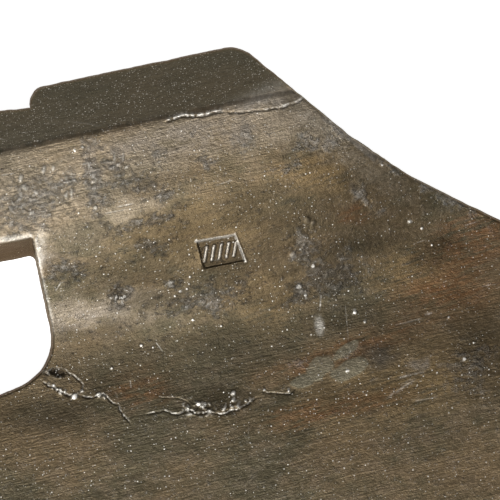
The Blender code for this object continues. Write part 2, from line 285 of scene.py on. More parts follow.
def rounded(corners, radii):
    """Points of a polygon whose corners are rounded, the same number at every rounded corner."""
    count = len(corners)
    sides = np.linalg.norm(np.roll(corners, -1, axis=0) - corners, axis=1)
    half_angles = []
    cuts = []
    for i, corner in enumerate(corners):
        back = unit(corners[i - 1] - corner)
        on = unit(corners[(i + 1) % count] - corner)
        half_angles.append(math.acos(np.clip(back @ on, -1.0, 1.0)) / 2)
        cuts.append(radii[i] / math.tan(half_angles[i]))
    points = []
    for i, corner in enumerate(corners):
        if radii[i] == 0.0:
            points.append(corner)
            continue
        room_before = sides[i - 1] / max(cuts[i - 1] + cuts[i], sides[i - 1])
        room_after = sides[i] / max(cuts[i] + cuts[(i + 1) % count], sides[i])
        cut = cuts[i] * min(1.0, FILLET_SHARE * room_before, FILLET_SHARE * room_after)
        points += arc(corner, corners[i - 1], corners[(i + 1) % count], half_angles[i], cut)
    return np.array(points)


def arc(corner, before, after, half_angle, cut):
    """Points of the arc that leaves both sides of a corner at the same distance from it."""
    back = unit(before - corner)
    on = unit(after - corner)
    radius = cut * math.tan(half_angle)
    centre = corner + unit(back + on) * radius / math.sin(half_angle)
    first = corner + back * cut - centre
    last = corner + on * cut - centre
    turn = math.pi - 2 * half_angle
    points = []
    for step in range(FILLET_STEPS + 1):
        share = step / FILLET_STEPS
        mix = math.sin((1 - share) * turn) * first + math.sin(share * turn) * last
        points.append(centre + mix / math.sin(turn))
    return points


def outline_corners():
    """Corners as (place, radius on the back, radius on the face, draft of the side after it)."""
    poll_back = LUG_BACK + POLL_STEP
    underside = -(LIP_DISTANCE + UNDERSIDE_FLARE)
    tip = (TIP_RADIUS, TIP_RADIUS)
    bend = (BLADE_BEND_RADIUS, BLADE_BEND_RADIUS)
    lug_corner = (LUG_CORNER_RADIUS, LUG_CORNER_RADIUS)
    rows = [
        (TOE_TIP, *tip, SIDE_DRAFT),
        (TOE_SHOULDER, TOE_SHOULDER_RADIUS, TOE_SHOULDER_RADIUS, SIDE_DRAFT),
        (TOE_BEND, *bend, SIDE_DRAFT),
        (TOE_WAIST, *bend, SIDE_DRAFT),
        ((POLL_END, poll_back + POLL_RISE), POLL_END_RADIUS, POLL_END_RADIUS, SIDE_DRAFT),
        ((POLL_START, poll_back), POLL_RADIUS, POLL_RADIUS, SIDE_DRAFT),
        ((POLL_START, LUG_BACK), 0.0, 0.0, SIDE_DRAFT),
        ((-LUG_LENGTH, LUG_BACK + LUG_SPREAD), *lug_corner, 0.0),
        ((-LUG_LENGTH, underside), *lug_corner, UNDERSIDE_FLARE),
        ((0.0, underside), NOTCH_TOP_RADIUS, NOTCH_LIP_RADIUS, NECK_DRAFT),
        ((NECK_LEAN, -NOTCH_DEPTH), NOTCH_ROOT_RADIUS, NOTCH_ROOT_RADIUS, SIDE_DRAFT),
        (BEARD_BEND, *bend, SIDE_DRAFT),
        (HEEL_SHOULDER, HEEL_SHOULDER_RADIUS, HEEL_SHOULDER_RADIUS, SIDE_DRAFT),
        (HEEL_HOLLOW, HEEL_HOLLOW_RADIUS, HEEL_HOLLOW_RADIUS, SIDE_DRAFT),
        (HEEL_TIP, *tip, 0.0),
    ]
    steps = round(EDGE_LENGTH / OUTLINE_COARSE)
    for step in range(1, steps):
        x = HEEL_TIP[0] + EDGE_LENGTH * step / steps
        rows.append(((x, float(edge_line(x))), 0.0, 0.0, 0.0))
    return rows


def outline_loops():
    """The back's and the face's outline, point for point, as rows of (back x, y, face x, y)."""
    rows = outline_corners()
    corners = np.array([row[0] for row in rows])
    drafts = [row[3] for row in rows]
    back = rounded(corners, [row[1] for row in rows])
    face = rounded(inset_corners(corners, drafts), [row[2] for row in rows])
    loops = split_long(np.hstack((back, face)))
    uneven = np.abs(waves(loops[:, 0], loops[:, 1], OUTLINE_WAVES))
    inward = inward_normals(loops[:, :2]) * uneven[:, None]
    return loops + np.hstack((inward, inward))


def in_view(x, y, margin=0.0):
    """How far points lie inside the photograph's window, 1 inside and 0 well outside."""
    px, py = photo_pixel(x, y)
    outside = np.maximum(np.abs(px - PHOTO_SIZE / 2), np.abs(py - PHOTO_SIZE / 2)) - PHOTO_SIZE / 2
    return 1.0 - smoothstep((outside * PIXEL - margin) / WINDOW_FADE)


def split_long(loops):
    points = []
    for here, there in zip(loops, np.roll(loops, -1, axis=0)):
        fine = float(in_view(here[0], here[1]))
        step = OUTLINE_COARSE + (OUTLINE_FINE - OUTLINE_COARSE) * fine
        pieces = max(1, math.ceil(np.linalg.norm(there[:2] - here[:2]) / step))
        for piece in range(pieces):
            points.append(here + (there - here) * piece / pieces)
    return np.array(points)


def inward_normals(loop):
    """Unit vectors that point into a counter-clockwise loop, averaged at each point."""
    along = np.roll(loop, -1, axis=0) - np.roll(loop, 1, axis=0)
    along /= np.linalg.norm(along, axis=1)[:, None]
    return np.stack((-along[:, 1], along[:, 0]), axis=1)


def inside(points, loop):
    """Which points lie inside a closed loop."""
    held = np.zeros(len(points), bool)
    for a, b in zip(loop, np.roll(loop, -1, axis=0)):
        if a[1] == b[1]:
            continue
        low, high = min(a[1], b[1]), max(a[1], b[1])
        near = (points[:, 1] >= low) & (points[:, 1] < high)
        at = (b[0] - a[0]) * (points[near, 1] - a[1]) / (b[1] - a[1]) + a[0]
        held[near] ^= points[near, 0] < at
    return held


def hashed(column, row, seed):
    """A repeatable number from 0 to 1 for every cell."""
    mixed = np.sin(column * HASH_COLUMN + row * HASH_ROW + seed * HASH_SEED) * HASH_SCALE
    return mixed - np.floor(mixed)


def noise(x, y, size, seed, stretch=1.0):
    """Smooth gradient noise from about -1 to 1, with features of a size in millimetres."""
    u = x / (size * stretch)
    v = y / size
    column, row = np.floor(u), np.floor(v)
    fu, fv = u - column, v - row
    total = 0.0
    for i in (0, 1):
        for j in (0, 1):
            angle = 2 * math.pi * hashed(column + i, row + j, seed)
            pull = np.cos(angle) * (fu - i) + np.sin(angle) * (fv - j)
            share_u = smoothstep(fu) if i else 1 - smoothstep(fu)
            share_v = smoothstep(fv) if j else 1 - smoothstep(fv)
            total = total + pull * share_u * share_v
    return total * NOISE_GAIN


# Weld seams and cracks, as pixels of the photograph from left to right.
SOCKET_SEAM = ((166, 123), (173, 120.5), (180, 117.5), (186, 116.5), (192, 117), (200, 117), (210, 114.7),
               (217, 113), (224, 111.5))
SOCKET_SEAM_TAIL = ((227, 113), (240, 113), (250, 112), (260, 111), (267, 109.7), (283, 107.7))
SOCKET_SEAM_END = ((281, 108), (286, 106), (294, 104.3), (299, 101.3), (304, 97.5))
HEEL_SEAM = ((41, 381), (45, 383), (49, 386), (53, 386.5), (57, 389.5), (64, 393), (69, 395), (76, 395),
             (84, 396.5), (93, 397.6), (97, 395.5), (101, 393.5), (106, 395), (110, 400.7), (116, 404.3),
             (119, 405.5), (120, 410), (124, 415.7), (131, 424))
RECESS_EDGE = ((41, 371.4), (47, 373.3), (48.6, 370.7), (53.6, 368.1), (60, 368.8), (65.7, 370),
               (68.6, 373), (75, 376), (79.3, 380), (82.9, 384.3), (82, 389), (79, 394))
STEEL_SEAM = ((144, 414.7), (151, 413), (159, 411.9), (164, 410.4), (171, 413), (178, 414), (184, 412),
              (187, 409), (193, 410.7), (196, 413.6), (204, 413), (209, 411.4), (214, 413.6), (222, 414),
              (227, 412.9), (231, 410), (236, 410), (244, 406.4), (250, 402), (258, 396))
STEEL_CRACK = ((262, 391), (268, 392.3), (276, 393), (283, 393.6), (290, 393.3), (296, 388))
LOW_SEAM = ((158, 396.7), (167, 397.6), (177, 397.6), (183, 399.3), (189, 403))

# Each seam as (path, step, reach, crevice depth, lip's painted highlight, crevice's painted shade, lip's
# width).
SEAMS = dict(
    socket=(SOCKET_SEAM, 0.6, 1.6, 0.45, 1, 1, 0.55),
    socket_tail=(SOCKET_SEAM_TAIL, 0.16, 2, 0.25, 0.28, 0.7, 0.22),
    socket_end=(SOCKET_SEAM_END, 0.35, 2, 0.28, 0.9, 0.7, 0.34),
    heel=(HEEL_SEAM, 0.1, 2, 0.28, 0.6, 1, 0.15),
    recess=(RECESS_EDGE, 0.12, 1.2, 0.18, 0.35, 0.6, 0.18),
    steel=(STEEL_SEAM, 0.14, 1.5, 0.28, 0.65, 0.9, 0.18),
    crack=(STEEL_CRACK, 0.05, 0.8, 0.2, 0.28, 0.9, 0.14),
    low=(LOW_SEAM, 0.08, 1, 0.1, 0.1, 0.4, 0.2),
)

# Beads of weld and bright grains, as (pixel x, y, radius in pixels, height in millimetres, painted
# highlight on the top).
BEADS = dict(
    heel_large=(73.9, 396.4, 3.4, 0.55, 0.95),
    heel_bright=(98.5, 395, 2.4, 0.45, 0.85),
    heel_lobe=(104, 396, 2.6, 0.4, 0.15),
    heel_first=(53.1, 386, 1.4, 0.25, 0.7),
    heel_second=(56.8, 389.4, 1.6, 0.25, 0.6),
    heel_third=(64.3, 392.4, 1.5, 0.25, 0.55),
    heel_fourth=(81.5, 391, 1.7, 0.25, 0.5),
    steel_bright=(198.1, 404, 2.4, 0.45, 0.95),
    steel_side=(204.3, 405, 2, 0.35, 0.55),
    steel_left=(188, 409.5, 2.2, 0.35, 0.5),
    steel_low=(209, 411.5, 2.3, 0.35, 0.5),
    steel_upper=(233.6, 392.9, 2.2, 0.35, 0.7),
    steel_lower=(232.9, 400.7, 1.7, 0.3, 0.6),
    crack_left=(264.2, 390, 1.5, 0.25, 0.8),
    crack_right=(288.8, 391, 1.2, 0.25, 0.8),
    lump_top=(307, 220.5, 3.8, 0.34, 0.02),
    lump_side=(313, 222.5, 2.6, 0.28, 0.04),
    lump_ridge=(304, 239, 6, 0.26, 0.03),
    lump_grey=(293.5, 256.5, 3.6, 0.3, 0.12),
    lump_ring=(299, 290, 5.5, 0.28, 0.03),
    lump_crest=(299, 286.5, 3, 0.3, 0.4),
    stroke_end=(305.5, 295, 1.8, 0.25, 0.55),
    toe_lump=(359, 195, 3.6, 0.3, 0.08),
    toe_lump_low=(366, 203, 3.2, 0.3, 0.12),
    left_grain=(190, 277, 1.2, 0.15, 0.8),
    left_grain_low=(189, 284, 1.3, 0.15, 0.65),
    left_grain_next=(187, 289, 1.3, 0.15, 0.65),
    left_grain_third=(180, 291.5, 1.3, 0.15, 0.65),
    left_grain_fourth=(175, 296, 1.3, 0.15, 0.65),
    lower_grain=(193, 320, 1.5, 0.15, 0.8),
    lower_grain_right=(221, 326, 1.3, 0.15, 0.75),
    hollow_grain=(141, 345.5, 1.5, 0.15, 0.9),
    hollow_grain_right=(153, 347.5, 1.2, 0.12, 0.6),
    under_recess=(111.7, 368.3, 1.2, 0.12, 0.75),
    right_grain=(355, 312.5, 1.9, 0.2, 0.85),
    right_grain_low=(365, 322, 1.5, 0.15, 0.55),
    toe_grain=(422, 228.5, 1.5, 0.15, 0.85),
    toe_grain_left=(409.6, 221.5, 1.4, 0.15, 0.8),
    toe_grain_right=(432, 245, 1.1, 0.12, 0.8),
    edge_grain=(381.7, 165.3, 1.2, 0.12, 0.85),
    below_mark=(313, 266, 1.8, 0.2, 0.8),
    far_grain=(449, 317, 1.5, 0.15, 0.6),
    far_grain_low=(465, 359, 1.7, 0.2, 0.75),
    slag_grain=(347, 371, 1.3, 0.12, 0.85),
    cheek_grain=(76, 151.5, 1.3, 0.12, 0.9),
    cheek_grain_next=(83.5, 147.5, 1.1, 0.12, 0.7),
    chamfer_grain=(330.8, 121.7, 1.7, 0.15, 0.6),
)

# Dents and holes, as (pixel x, y, half sizes x, y in pixels, turn in degrees, depth in millimetres).
DENTS = dict(
    black_dot=(173, 216, 1.3, 1.3, 0, 0.35),
    recess=(57.5, 372.3, 7.5, 3.4, -12, 0.5),
    recess_hole=(52.3, 372.4, 1.8, 1.8, 0, 0.3),
    recess_hole_right=(59.3, 375, 2, 2, 0, 0.3),
    neck_smudge=(58, 264, 12, 6, 20, 0.25),
    neck_smudge_low=(80, 279, 9, 5, 15, 0.2),
    pit_cluster=(118.5, 296, 10, 8, 35, 0.25),
    ring_hollow=(299, 292, 3, 2.4, 0, 0.35),
    heel_dent=(128, 386, 6, 4, 40, 0.15),
)

# Small raised ticks left by the hammer, as (pixel x, y, half sizes x, y, turn in degrees, height).
TICKS = dict(
    tear=(45, 170, 1.9, 3.8, -15, 0.3),
    tear_right=(54.5, 169, 1.4, 2.6, -10, 0.16),
    tear_left=(22, 179, 1.9, 3.6, -10, 0.22),
    dash_left=(67.5, 195, 1.4, 3.2, -8, 0.24),
    dash_right=(72.5, 193.5, 1.3, 4.6, 3, 0.28),
    chain_top=(90, 166, 1.2, 2.6, 4, 0.2),
    chain_upper=(86, 164, 3.4, 0.8, 10, 0.16),
    chain_middle=(94, 176, 1.3, 2.6, 4, 0.2),
    chain_low=(93.5, 182.5, 2.2, 1, 10, 0.22),
    chain_foot=(96, 208, 1.8, 2.4, 0, 0.24),
    bar_left=(115.5, 158, 0.8, 4.4, 0, 0.2),
    bar_right=(124, 157, 0.8, 3.8, 0, 0.16),
    tooth_left=(113.5, 167.5, 2.8, 0.9, 30, 0.24),
    tooth_middle=(119, 165, 2.2, 0.9, 30, 0.2),
    tooth_right=(127.5, 167.5, 2.8, 0.9, 25, 0.24),
    lug_first=(26, 188, 1.6, 3, 40, 0.22),
    lug_second=(37, 193, 1.4, 2.6, 50, 0.2),
    lug_third=(54, 202, 2.4, 1.4, 20, 0.24),
    lug_fourth=(20, 200, 2.4, 1.3, 40, 0.2),
    lug_fifth=(33, 213, 2.2, 1.2, 30, 0.2),
)

# Pale scratches and streaks, as (from pixel, to pixel, half width in pixels, paleness).
SCRATCHES = dict(
    neck=((62, 281), (56, 291), 0.55, 0.55),
    below_lump=((321.5, 294), (319.5, 312), 0.65, 0.6),
    golden=((345, 302), (349, 345), 0.45, 0.22),
    hollow=((155.5, 342), (163, 352), 0.5, 0.55),
    toe=((463, 226), (480, 221), 0.55, 0.35),
    toe_low=((480, 287), (500, 283.5), 0.55, 0.35),
    toe_arc=((412, 244.5), (425, 240), 0.55, 0.3),
    cheek_high=((117, 207.5), (135, 203.5), 0.7, 0.6),
    cheek_low=((103, 214), (128, 209.5), 0.6, 0.4),
    cheek_far=((215, 186), (234, 180), 0.6, 0.35),
    lug=((2, 176), (17, 173.5), 0.6, 0.35),
    facet=((69, 122), (104, 127), 0.8, 0.14),
    stroke=((305, 290), (306, 300), 0.9, 0.45),
    low_pale=((385, 400), (418, 378), 1.4, 0.3),
    low_pale_next=((396, 378.5), (425, 372), 1.1, 0.32),
    low_pale_right=((400, 386), (412, 379), 1, 0.28),
    low_streak=((412, 402), (440, 397), 0.8, 0.22),
    smudge=((424, 315.5), (433, 312.5), 1.1, 0.5),
    streak=((393, 326), (424, 318), 0.8, 0.25),
    beside_heel=((115, 392), (118, 400), 0.6, 0.3),
    beside_heel_arc=((130, 380), (131, 389), 0.6, 0.35),
)

# Soft pale smears, as (pixel x, y, half sizes x, y, turn in degrees, paleness); facet_end is painted
# light over the shaded end of the facet.
SMEARS = dict(
    below_lumps=(319.5, 326, 3.4, 7.5, 8, 0.3),
    facet_end=(266, 96, 30, 9, 22, 0.13),
    waist=(312, 120, 20, 9, -30, 0.07),
)

# Where the mesh is finer still, as (pixel, half size in pixels, spacing in millimetres).
FINE_PATCHES = dict(
    mark=((221, 251), (28, 20), 0.3),
    heel_weld=((84, 386), (46, 22), 0.42),
    steel_weld=((198, 404), (36, 16), 0.42),
    cluster=((118, 297), (12, 14), 0.4),
    lumps=((303, 240), (16, 24), 0.48),
    ring=((300, 290), (10, 10), 0.42),
    lug_pits=((40, 196), (50, 42), 0.5),
    cheek_pits=((108, 176), (34, 40), 0.5),
    toe_pits=((362, 198), (14, 12), 0.48),
)

# The struck mark's corners in the photograph, clockwise from its top left.
MARK_CORNERS = ((197, 241.5), (235, 235), (245, 260.5), (204, 268.5))
MARK_DEPTH = 0.60
MARK_WALL = 0.50
STROKE_COUNT = 5
STROKE_PITCH = 2.6
STROKE_HALF_WIDTH = 0.55
STROKE_HALF_LENGTH = 3.0
STROKE_LEAN = math.radians(20)

# Worn edges of the notch with a painted highlight along them, as pixels of the photograph.
LIP_HIGHLIGHT_LINE = ((-20, 243), (0, 240.2), (16, 238.2), (34, 236.5))
NECK_HIGHLIGHT_LINE = ((37.5, 239), (39.5, 255), (41.5, 271), (46.5, 295), (50.5, 310), (52, 330),
             (51.5, 342), (47.5, 360))

# Where the facet's painted shade and its dust stop, and the filed edge of the waist.
FACET_END = ((60, 160), (205, 117), (240, 104), (285, 86), (330, 66))
CHAMFER = ((320, 113), (333, 123), (352, 138), (374, 156), (380, 161))

# Noise in the relief, as (height, size, seed, stretch along the handle), in millimetres.
FORGING_WAVES = dict(
    swell=(0.30, 30.0, 1, 1.6),
    hammer=(0.11, 11.0, 2, 1.5),
    ripple=(0.045, 4.2, 3, 1.6),
    grain=(0.020, 1.9, 4, 1.5),
)
HAMMERED_WAVES = {"wide": (0.11, 3.0, 22, 1.0), "narrow": (0.14, 1.3, 24, 1.0)}
OUTLINE_WAVES = {"long": (0.30, 6.0, 81, 1.0), "short": (0.12, 2.5, 82, 1.0)}
CRUMB_WAVES = {"large": (1.0, 1.6, 51, 1.0), "small": (0.5, 0.8, 52, 1.0)}
WALL_WAVES = {"wobble": (0.12, 1.4, 61, 1.0)}

# Plain noises, as (size, seed), and the pixels by which they move the patches' borders.
ROUGH_NOISE = (2.2, 21)
CRUMBLY_NOISE = (0.9, 23)
WARP_NOISE_X = (7.0, 71)
WARP_NOISE_Y = (7.0, 72)
WARP_X, WARP_ROUGH_X = 9.0, 4.0
WARP_Y, WARP_ROUGH_Y = 7.0, 3.0

# Pits, as (depth, size, seed), and other depths and heights in millimetres.
PITS = {"wide": (0.17, 2.0, 31), "narrow": (0.10, 1.1, 41)}
CREVICE_OFFSET = 0.22
CREVICE_WIDTH = 0.24
SCRATCH_DEPTH = 0.05
CRUMB_HEIGHT = 0.55
CRUMB_BED = 0.10
SLAG_HEIGHT = 0.16
CHAMFER_WIDTH = 2.1
CHAMFER_SLOPE = 0.10
CHAMFER_REACH = 3.0
MARK_RIM = 0.18

# How much painted highlight or painted shade such marks get, from 0 to 1; scratches and the filed chamfer
# are paler metal.
TICK_HIGHLIGHT = 0.28
SCRATCH_PALE = 0.75
CRUMB_HIGHLIGHT = 0.55
CRUMB_SHADE = 0.6
CHAMFER_PALE = 0.13
MARK_RIM_HIGHLIGHT = 0.75
STROKE_HIGHLIGHT = 0.45
MARK_SHADE = 0.50
LIP_HIGHLIGHT = 0.50
NECK_HIGHLIGHT = 0.30
NECK_TOP_HIGHLIGHT = 0.35
CORNER_HIGHLIGHT = 0.26

# The worn corner of the notch, with a painted highlight, as (pixel x, y, half sizes x, y, turn in
# degrees).
CORNER_HIGHLIGHT_PATCH = (40, 252, 5, 18, -6)

# Patches of the surface, as (pixel x, y, half sizes x, y in pixels, turn in degrees, softness).
# Where the last ones are left out, the turn is 10 degrees and the softness 0.9.
# Lighter patches, partly wear and partly painted sheen where slopes face the lamp; facet_end is painted
# light over the shaded facet.
WORN_AND_SHEEN_PATCHES = dict(
    facet_end=(268, 98, 44, 9, 20),
    cheek=(0, 190, 140, 53, 10, 0.8),
    cheek_far=(150, 150, 70, 24),
    waist=(320, 122, 54, 24, -40, 0.6),
    toe_rim=(345, 150, 60, 12, -38),
    ridge_end=(285, 128, 70, 20),
    lip=(35, 236, 52, 11),
    foot_of_neck=(88, 311, 56, 12, 8),
    under_seam=(240, 122, 110, 14),
    sweep=(125, 207, 40, 9, 12),
)
GOLDEN_PATCHES = dict(
    below_ridge=(325, 168, 50, 24, 15, 0.8),
    round_mark=(205, 232, 72, 30),
    below_mark=(265, 300, 34, 26),
    toe=(408, 270, 34, 26),
    lower_right=(400, 385, 100, 30, 15),
    beside_teeth=(75, 158, 50, 16),
)
RUSTY_PATCHES = dict(
    toe=(470, 245, 44, 26, 25, 0.8),
    toe_low=(450, 292, 50, 22, 10, 0.8),
    toe_spot=(350, 214, 12, 7, 0, 0.7),
    middle=(140, 388, 26, 16, 0, 0.8),
    far_low=(350, 350, 70, 12, 18, 0.8),
    foot_far=(340, 408, 60, 10, 12),
)
MAUVE_PATCHES = dict(
    foot=(88, 318, 60, 16, 8),
    under_ridge=(185, 138, 80, 16, 10, 0.8),
    by_seam=(270, 103, 40, 7, 10, 0.7),
    cheek=(95, 163, 8, 14, 0, 0.7),
    smudge=(416, 366, 10, 6, 20, 0.5),
    smudge_right=(448, 368, 11, 4, 12, 0.5),
    neck_corner=(45, 255, 9, 7, 0, 0.8),
    purple=(380, 357, 14, 12, 20),
    toe_pits=(358, 194, 9, 7, 30, 0.6),
)
PITTED_PATCHES = dict(
    lug=(30, 206, 34, 26, 30, 0.7),
    lug_low=(22, 222, 18, 7, 5, 0.7),
    lug_high=(58, 190, 22, 10, 30, 0.7),
    chain=(95, 178, 9, 38, 6, 0.7),
    cheek_top=(116, 160, 10, 14, 0, 0.7),
    cheek=(130, 183, 24, 9, 10, 0.7),
    cheek_far=(163, 196, 14, 10, 10, 0.7),
    upper=(158, 157, 10, 8, 10, 0.7),
    upper_right=(207, 160, 13, 7, 15, 0.7),
    upper_spot=(189, 139, 8, 5, 30, 0.7),
    upper_far=(235, 144, 12, 7, 20, 0.7),
    seam_side=(247, 136, 8, 12, 10, 0.7),
    toe_first=(307, 143, 13, 9, 10, 0.6),
    toe_second=(332, 141, 10, 12, 0, 0.6),
    toe_third=(292, 164, 7, 8, 0, 0.7),
    toe_spot=(362, 197, 13, 10, -35, 0.5),
    toe_small=(376, 214, 6, 5, 0, 0.6),
    edge_blue=(393, 168, 13, 6, -33, 0.5),
    edge_grey=(420, 183, 10, 4, -28, 0.6),
    edge_low=(455, 203, 34, 7, -27, 0.8),
    right_of_mark=(303, 248, 15, 20, 10, 0.8),
    ring=(298, 294, 15, 13, 10, 0.8),
    mark_side=(152, 247, 14, 7, 10, 0.7),
    above_mark=(176, 283, 13, 4, -5, 0.6),
    cluster=(118, 297, 11, 10, 35, 0.5),
    below_mark=(243, 285, 10, 9, 10, 0.8),
    dark_right=(476, 370, 20, 24, 20, 0.8),
    low_crack=(352, 352, 12, 5, 20, 0.8),
    low_grey=(296, 364, 9, 6, 0, 0.8),
    speckled=(330, 275, 34, 22),
    left_of_mark=(70, 270, 20, 12, 15),
    middle_low=(205, 300, 40, 12),
    cheek_low=(140, 222, 34, 8),
)
HAMMERED_PATCHES = dict(
    lug=(34, 200, 36, 30, 30, 0.8),
    lug_low=(40, 226, 40, 10, 8),
    chain=(95, 178, 9, 34, 6, 0.8),
    teeth=(120, 166, 15, 13, 0, 0.8),
    cluster=(118.5, 296, 10, 8, 35, 0.5),
    lumps=(303, 238, 14, 20, 0, 0.8),
    ring=(299, 290, 9, 9, 0, 0.6),
    toe_spot=(362, 197, 12, 9, -35, 0.6),
    above_mark=(176, 283, 11, 4, -5, 0.6),
)
SLAG_PATCHES = dict(
    low_left=(320, 368, 16, 11, 42, 0.5),
    low_foot=(303, 381, 14, 6, 28, 0.4),
    low_right=(349, 370, 18, 9, 28, 0.5),
    low_top=(347, 350, 16, 5, 32, 0.5),
)
DIM_PATCHES = dict(
    mark_right_low=(345, 250, 60, 14, 10, 1.0),
    right_of_sweep=(246, 204, 44, 16, 12, 1.0),
    right_of_mark=(272, 248, 38, 24, 10, 1.0),
    right_of_cluster=(155, 300, 40, 10, 10, 1.0),
    under_foot=(88, 334, 56, 9, 8, 1.0),
    below_lumps=(287, 297, 58, 18, 10, 1.0),
    mark_left=(186, 250, 12, 14, 0, 0.8),
    over_mark=(228, 221, 52, 13, 10, 0.8),
    under_lumps=(284, 275, 20, 12, 0, 0.8),
    speckled=(332, 278, 34, 20, 10, 0.8),
    past_cluster=(264, 298, 34, 18, 10, 0.7),
    above_between=(262, 218, 28, 18, 0, 0.7),
    above_foot=(140, 270, 66, 20, 8, 1.0),
    left_of_mark=(180, 236, 50, 26, 10, 1.0),
    low_left=(100, 364, 115, 32, 6, 0.7),
    low_middle=(235, 340, 92, 28, 8),
    low_right=(322, 322, 64, 18),
    heel=(30, 408, 70, 24, 0),
    toe=(437, 250, 24, 14, 10, 1.0),
    between=(268, 238, 24, 26, 0, 0.7),
    hollow=(140, 352, 46, 9),
    beside_mark=(285, 222, 56, 26, 10, 1.0),
    below_slag=(225, 398, 24, 10, 5),
    purple=(380, 355, 24, 16, 20),
    far_dark=(480, 350, 34, 44),
    middle=(240, 270, 60, 20),
)
FAINT_DIM_PATCHES = dict(
    lug_end=(4, 174, 28, 14),
    cheek=(146, 184, 34, 20),
    neck=(85, 236, 34, 16, 8),
    right_of_lumps=(345, 240, 56, 54, 10, 0.8),
    sweep=(205, 323, 90, 13, 8, 0.8),
    low_far=(360, 392, 90, 22, 10, 0.8),
    far=(412, 338, 26, 24, 10, 0.8),
    toe_rim=(375, 190, 40, 22, -30),
)
CRUMBLY_PATCHES = dict(
    cluster=(118, 296, 8, 9, 35, 0.6),
    above_mark=(176, 282, 9, 3.4, -5, 0.6),
    heel_first=(57, 373, 9, 4, -12, 0.6),
    steel=(197, 408, 16, 8, 0, 0.6),
    steel_right=(230, 409, 12, 6, 10, 0.6),
    heel=(59, 390, 10, 3, -30, 0.6),
    right=(245, 404, 7, 4, 30, 0.6),
)

# Colours of the iron.
BROWN = (0.172, 0.123, 0.070, 1.0)
OLIVE = (0.098, 0.083, 0.052, 1.0)
GOLDEN = (0.212, 0.146, 0.072, 1.0)
RUST = (0.178, 0.094, 0.044, 1.0)
# Lighter colour of rubbed iron, also laid on as painted sheen.
WORN_AND_SHEEN = (0.285, 0.232, 0.165, 1.0)
MAUVE = (0.205, 0.176, 0.145, 1.0)
# Painted shade on the steep facet past the ridge.
FACET_PAINTED_SHADE = (0.076, 0.072, 0.057, 1.0)
PIT_DARK = (0.136, 0.143, 0.147, 1.0)
PIT_GREY = (0.235, 0.245, 0.250, 1.0)
# Painted glints in the pits.
PIT_PAINTED_GLINT = (0.420, 0.430, 0.440, 1.0)
SLAG = (0.190, 0.172, 0.122, 1.0)
# Pale colour of scratches, bare metal and dust, also used for painted highlights and glints.
PALE = (0.900, 0.860, 0.780, 1.0)
# Painted shade on the steep side walls.
WALL_PAINTED_SHADE = (0.040, 0.029, 0.014, 1.0)
EDGE_TINT = (0.50, 0.38, 0.22, 1.0)
# Painted shade in crevices, holes, between crumbs and in the struck mark.
PAINTED_SHADE = (0.014, 0.011, 0.008, 1.0)

# Noises of the material, as (size in millimetres, detail, roughness, offset, stretch, turn).
NOISES = dict(
    broad=(24.0, 4.0, 0.60, (3.1, 7.7, 0.0), 1.8, -6),
    blotch=(5.0, 6.0, 0.70, (11.0, 2.0, 0.0), 1.5, -4),
    spots=(2.6, 5.0, 0.75, (2.0, 14.0, 5.0), 1.2, 0),
    grain=(1.2, 4.0, 0.72, (1.0, 5.0, 2.0), 1.2, 0),
    dimple=(1.5, 1.0, 0.4, (6.0, 1.0, 3.0), 1.3, -10),
    fine=(0.50, 2.0, 0.60, (4.0, 2.0, 7.0), 1.0, 0),
    brush=(0.60, 3.0, 0.60, (5.0, 9.0, 1.0), 12.0, -3),
    sweep=(1.50, 4.0, 0.62, (9.0, 3.0, 1.0), 10.0, -9),
)

# Colours laid over a mask, as (colour, noise, second noise, its part, low, high, share).
LAYERS_UNDER_PITS = dict(
    golden=(GOLDEN, "sweep", "blotch", 0.7, 0.66, 0.98, 1.0),
    rusty=(RUST, "sweep", "spots", 0.7, 0.68, 0.98, 1.0),
    # The lighter layer is wear together with painted sheen.
    worn_and_sheen=(WORN_AND_SHEEN, "blotch", "brush", 0.5, 0.30, 0.90, 0.95),
)
LAYERS_OVER_PITS = dict(
    mauve=(MAUVE, "blotch", "sweep", 0.0, 0.30, 0.62, 0.75),
    dim=(OLIVE, "blotch", "sweep", 0.5, 0.55, 0.90, 0.50),
)

# Noise values between which a colour fades in, and how much of it is laid on.
FADES = dict(
    brown=(0.62, 0.98),
    mauve=(0.46, 0.62),
    pitted=(0.70, 1.06),
    grey=(0.40, 0.58),
    painted_glints=(1.00, 1.16),
    slag=(0.70, 1.05),
)
SHARES = dict(
    mauve=0.14,
    pitted=0.42,
    facet=0.80,
    slag=0.80,
    wall=0.90,
    grains=0.90,
    small_grains=0.75,
    facet_dust=0.72,
)

# Pale dots of dust and painted glints, as (cell in millimetres, share of the cells, radius in cells).
SPECKS = dict(
    large_grains=(1.60, 0.46, 0.18),
    small_grains=(0.90, 0.46, 0.23),
    facet_dust=(0.70, 0.55, 0.30),
)

# How far the noises swing the tones, and how high they stand in the bump, in millimetres.
TONE_SWINGS = {"grain": 1.1, "fine": 0.9, "brush": 0.55, "sweep": 0.5}
PALE_SWINGS = {"grain": 1.3, "fine": 1.5}
BUMP_HEIGHTS = {"grain": 0.18, "fine": 0.07, "brush": 0.13, "blotch": 0.12}
DIMPLE_BUMP = 0.30
GRAIN_BUMP = 0.06
DIM_TONE = -0.48
PITTED_TONE = -0.03
METALLIC = 0.80
ROUGHNESS = 0.24
GRAIN_ROUGHNESS = 0.34
PITTED_ROUGHNESS = -0.05

# Walls are told by the upward part of their normals; they are painted in shade and show less of the pale
# marks.
STEEP_BELOW = 0.50
STEEP_SPREAD = 0.30
PALE_LOST_ON_WALLS = 0.85

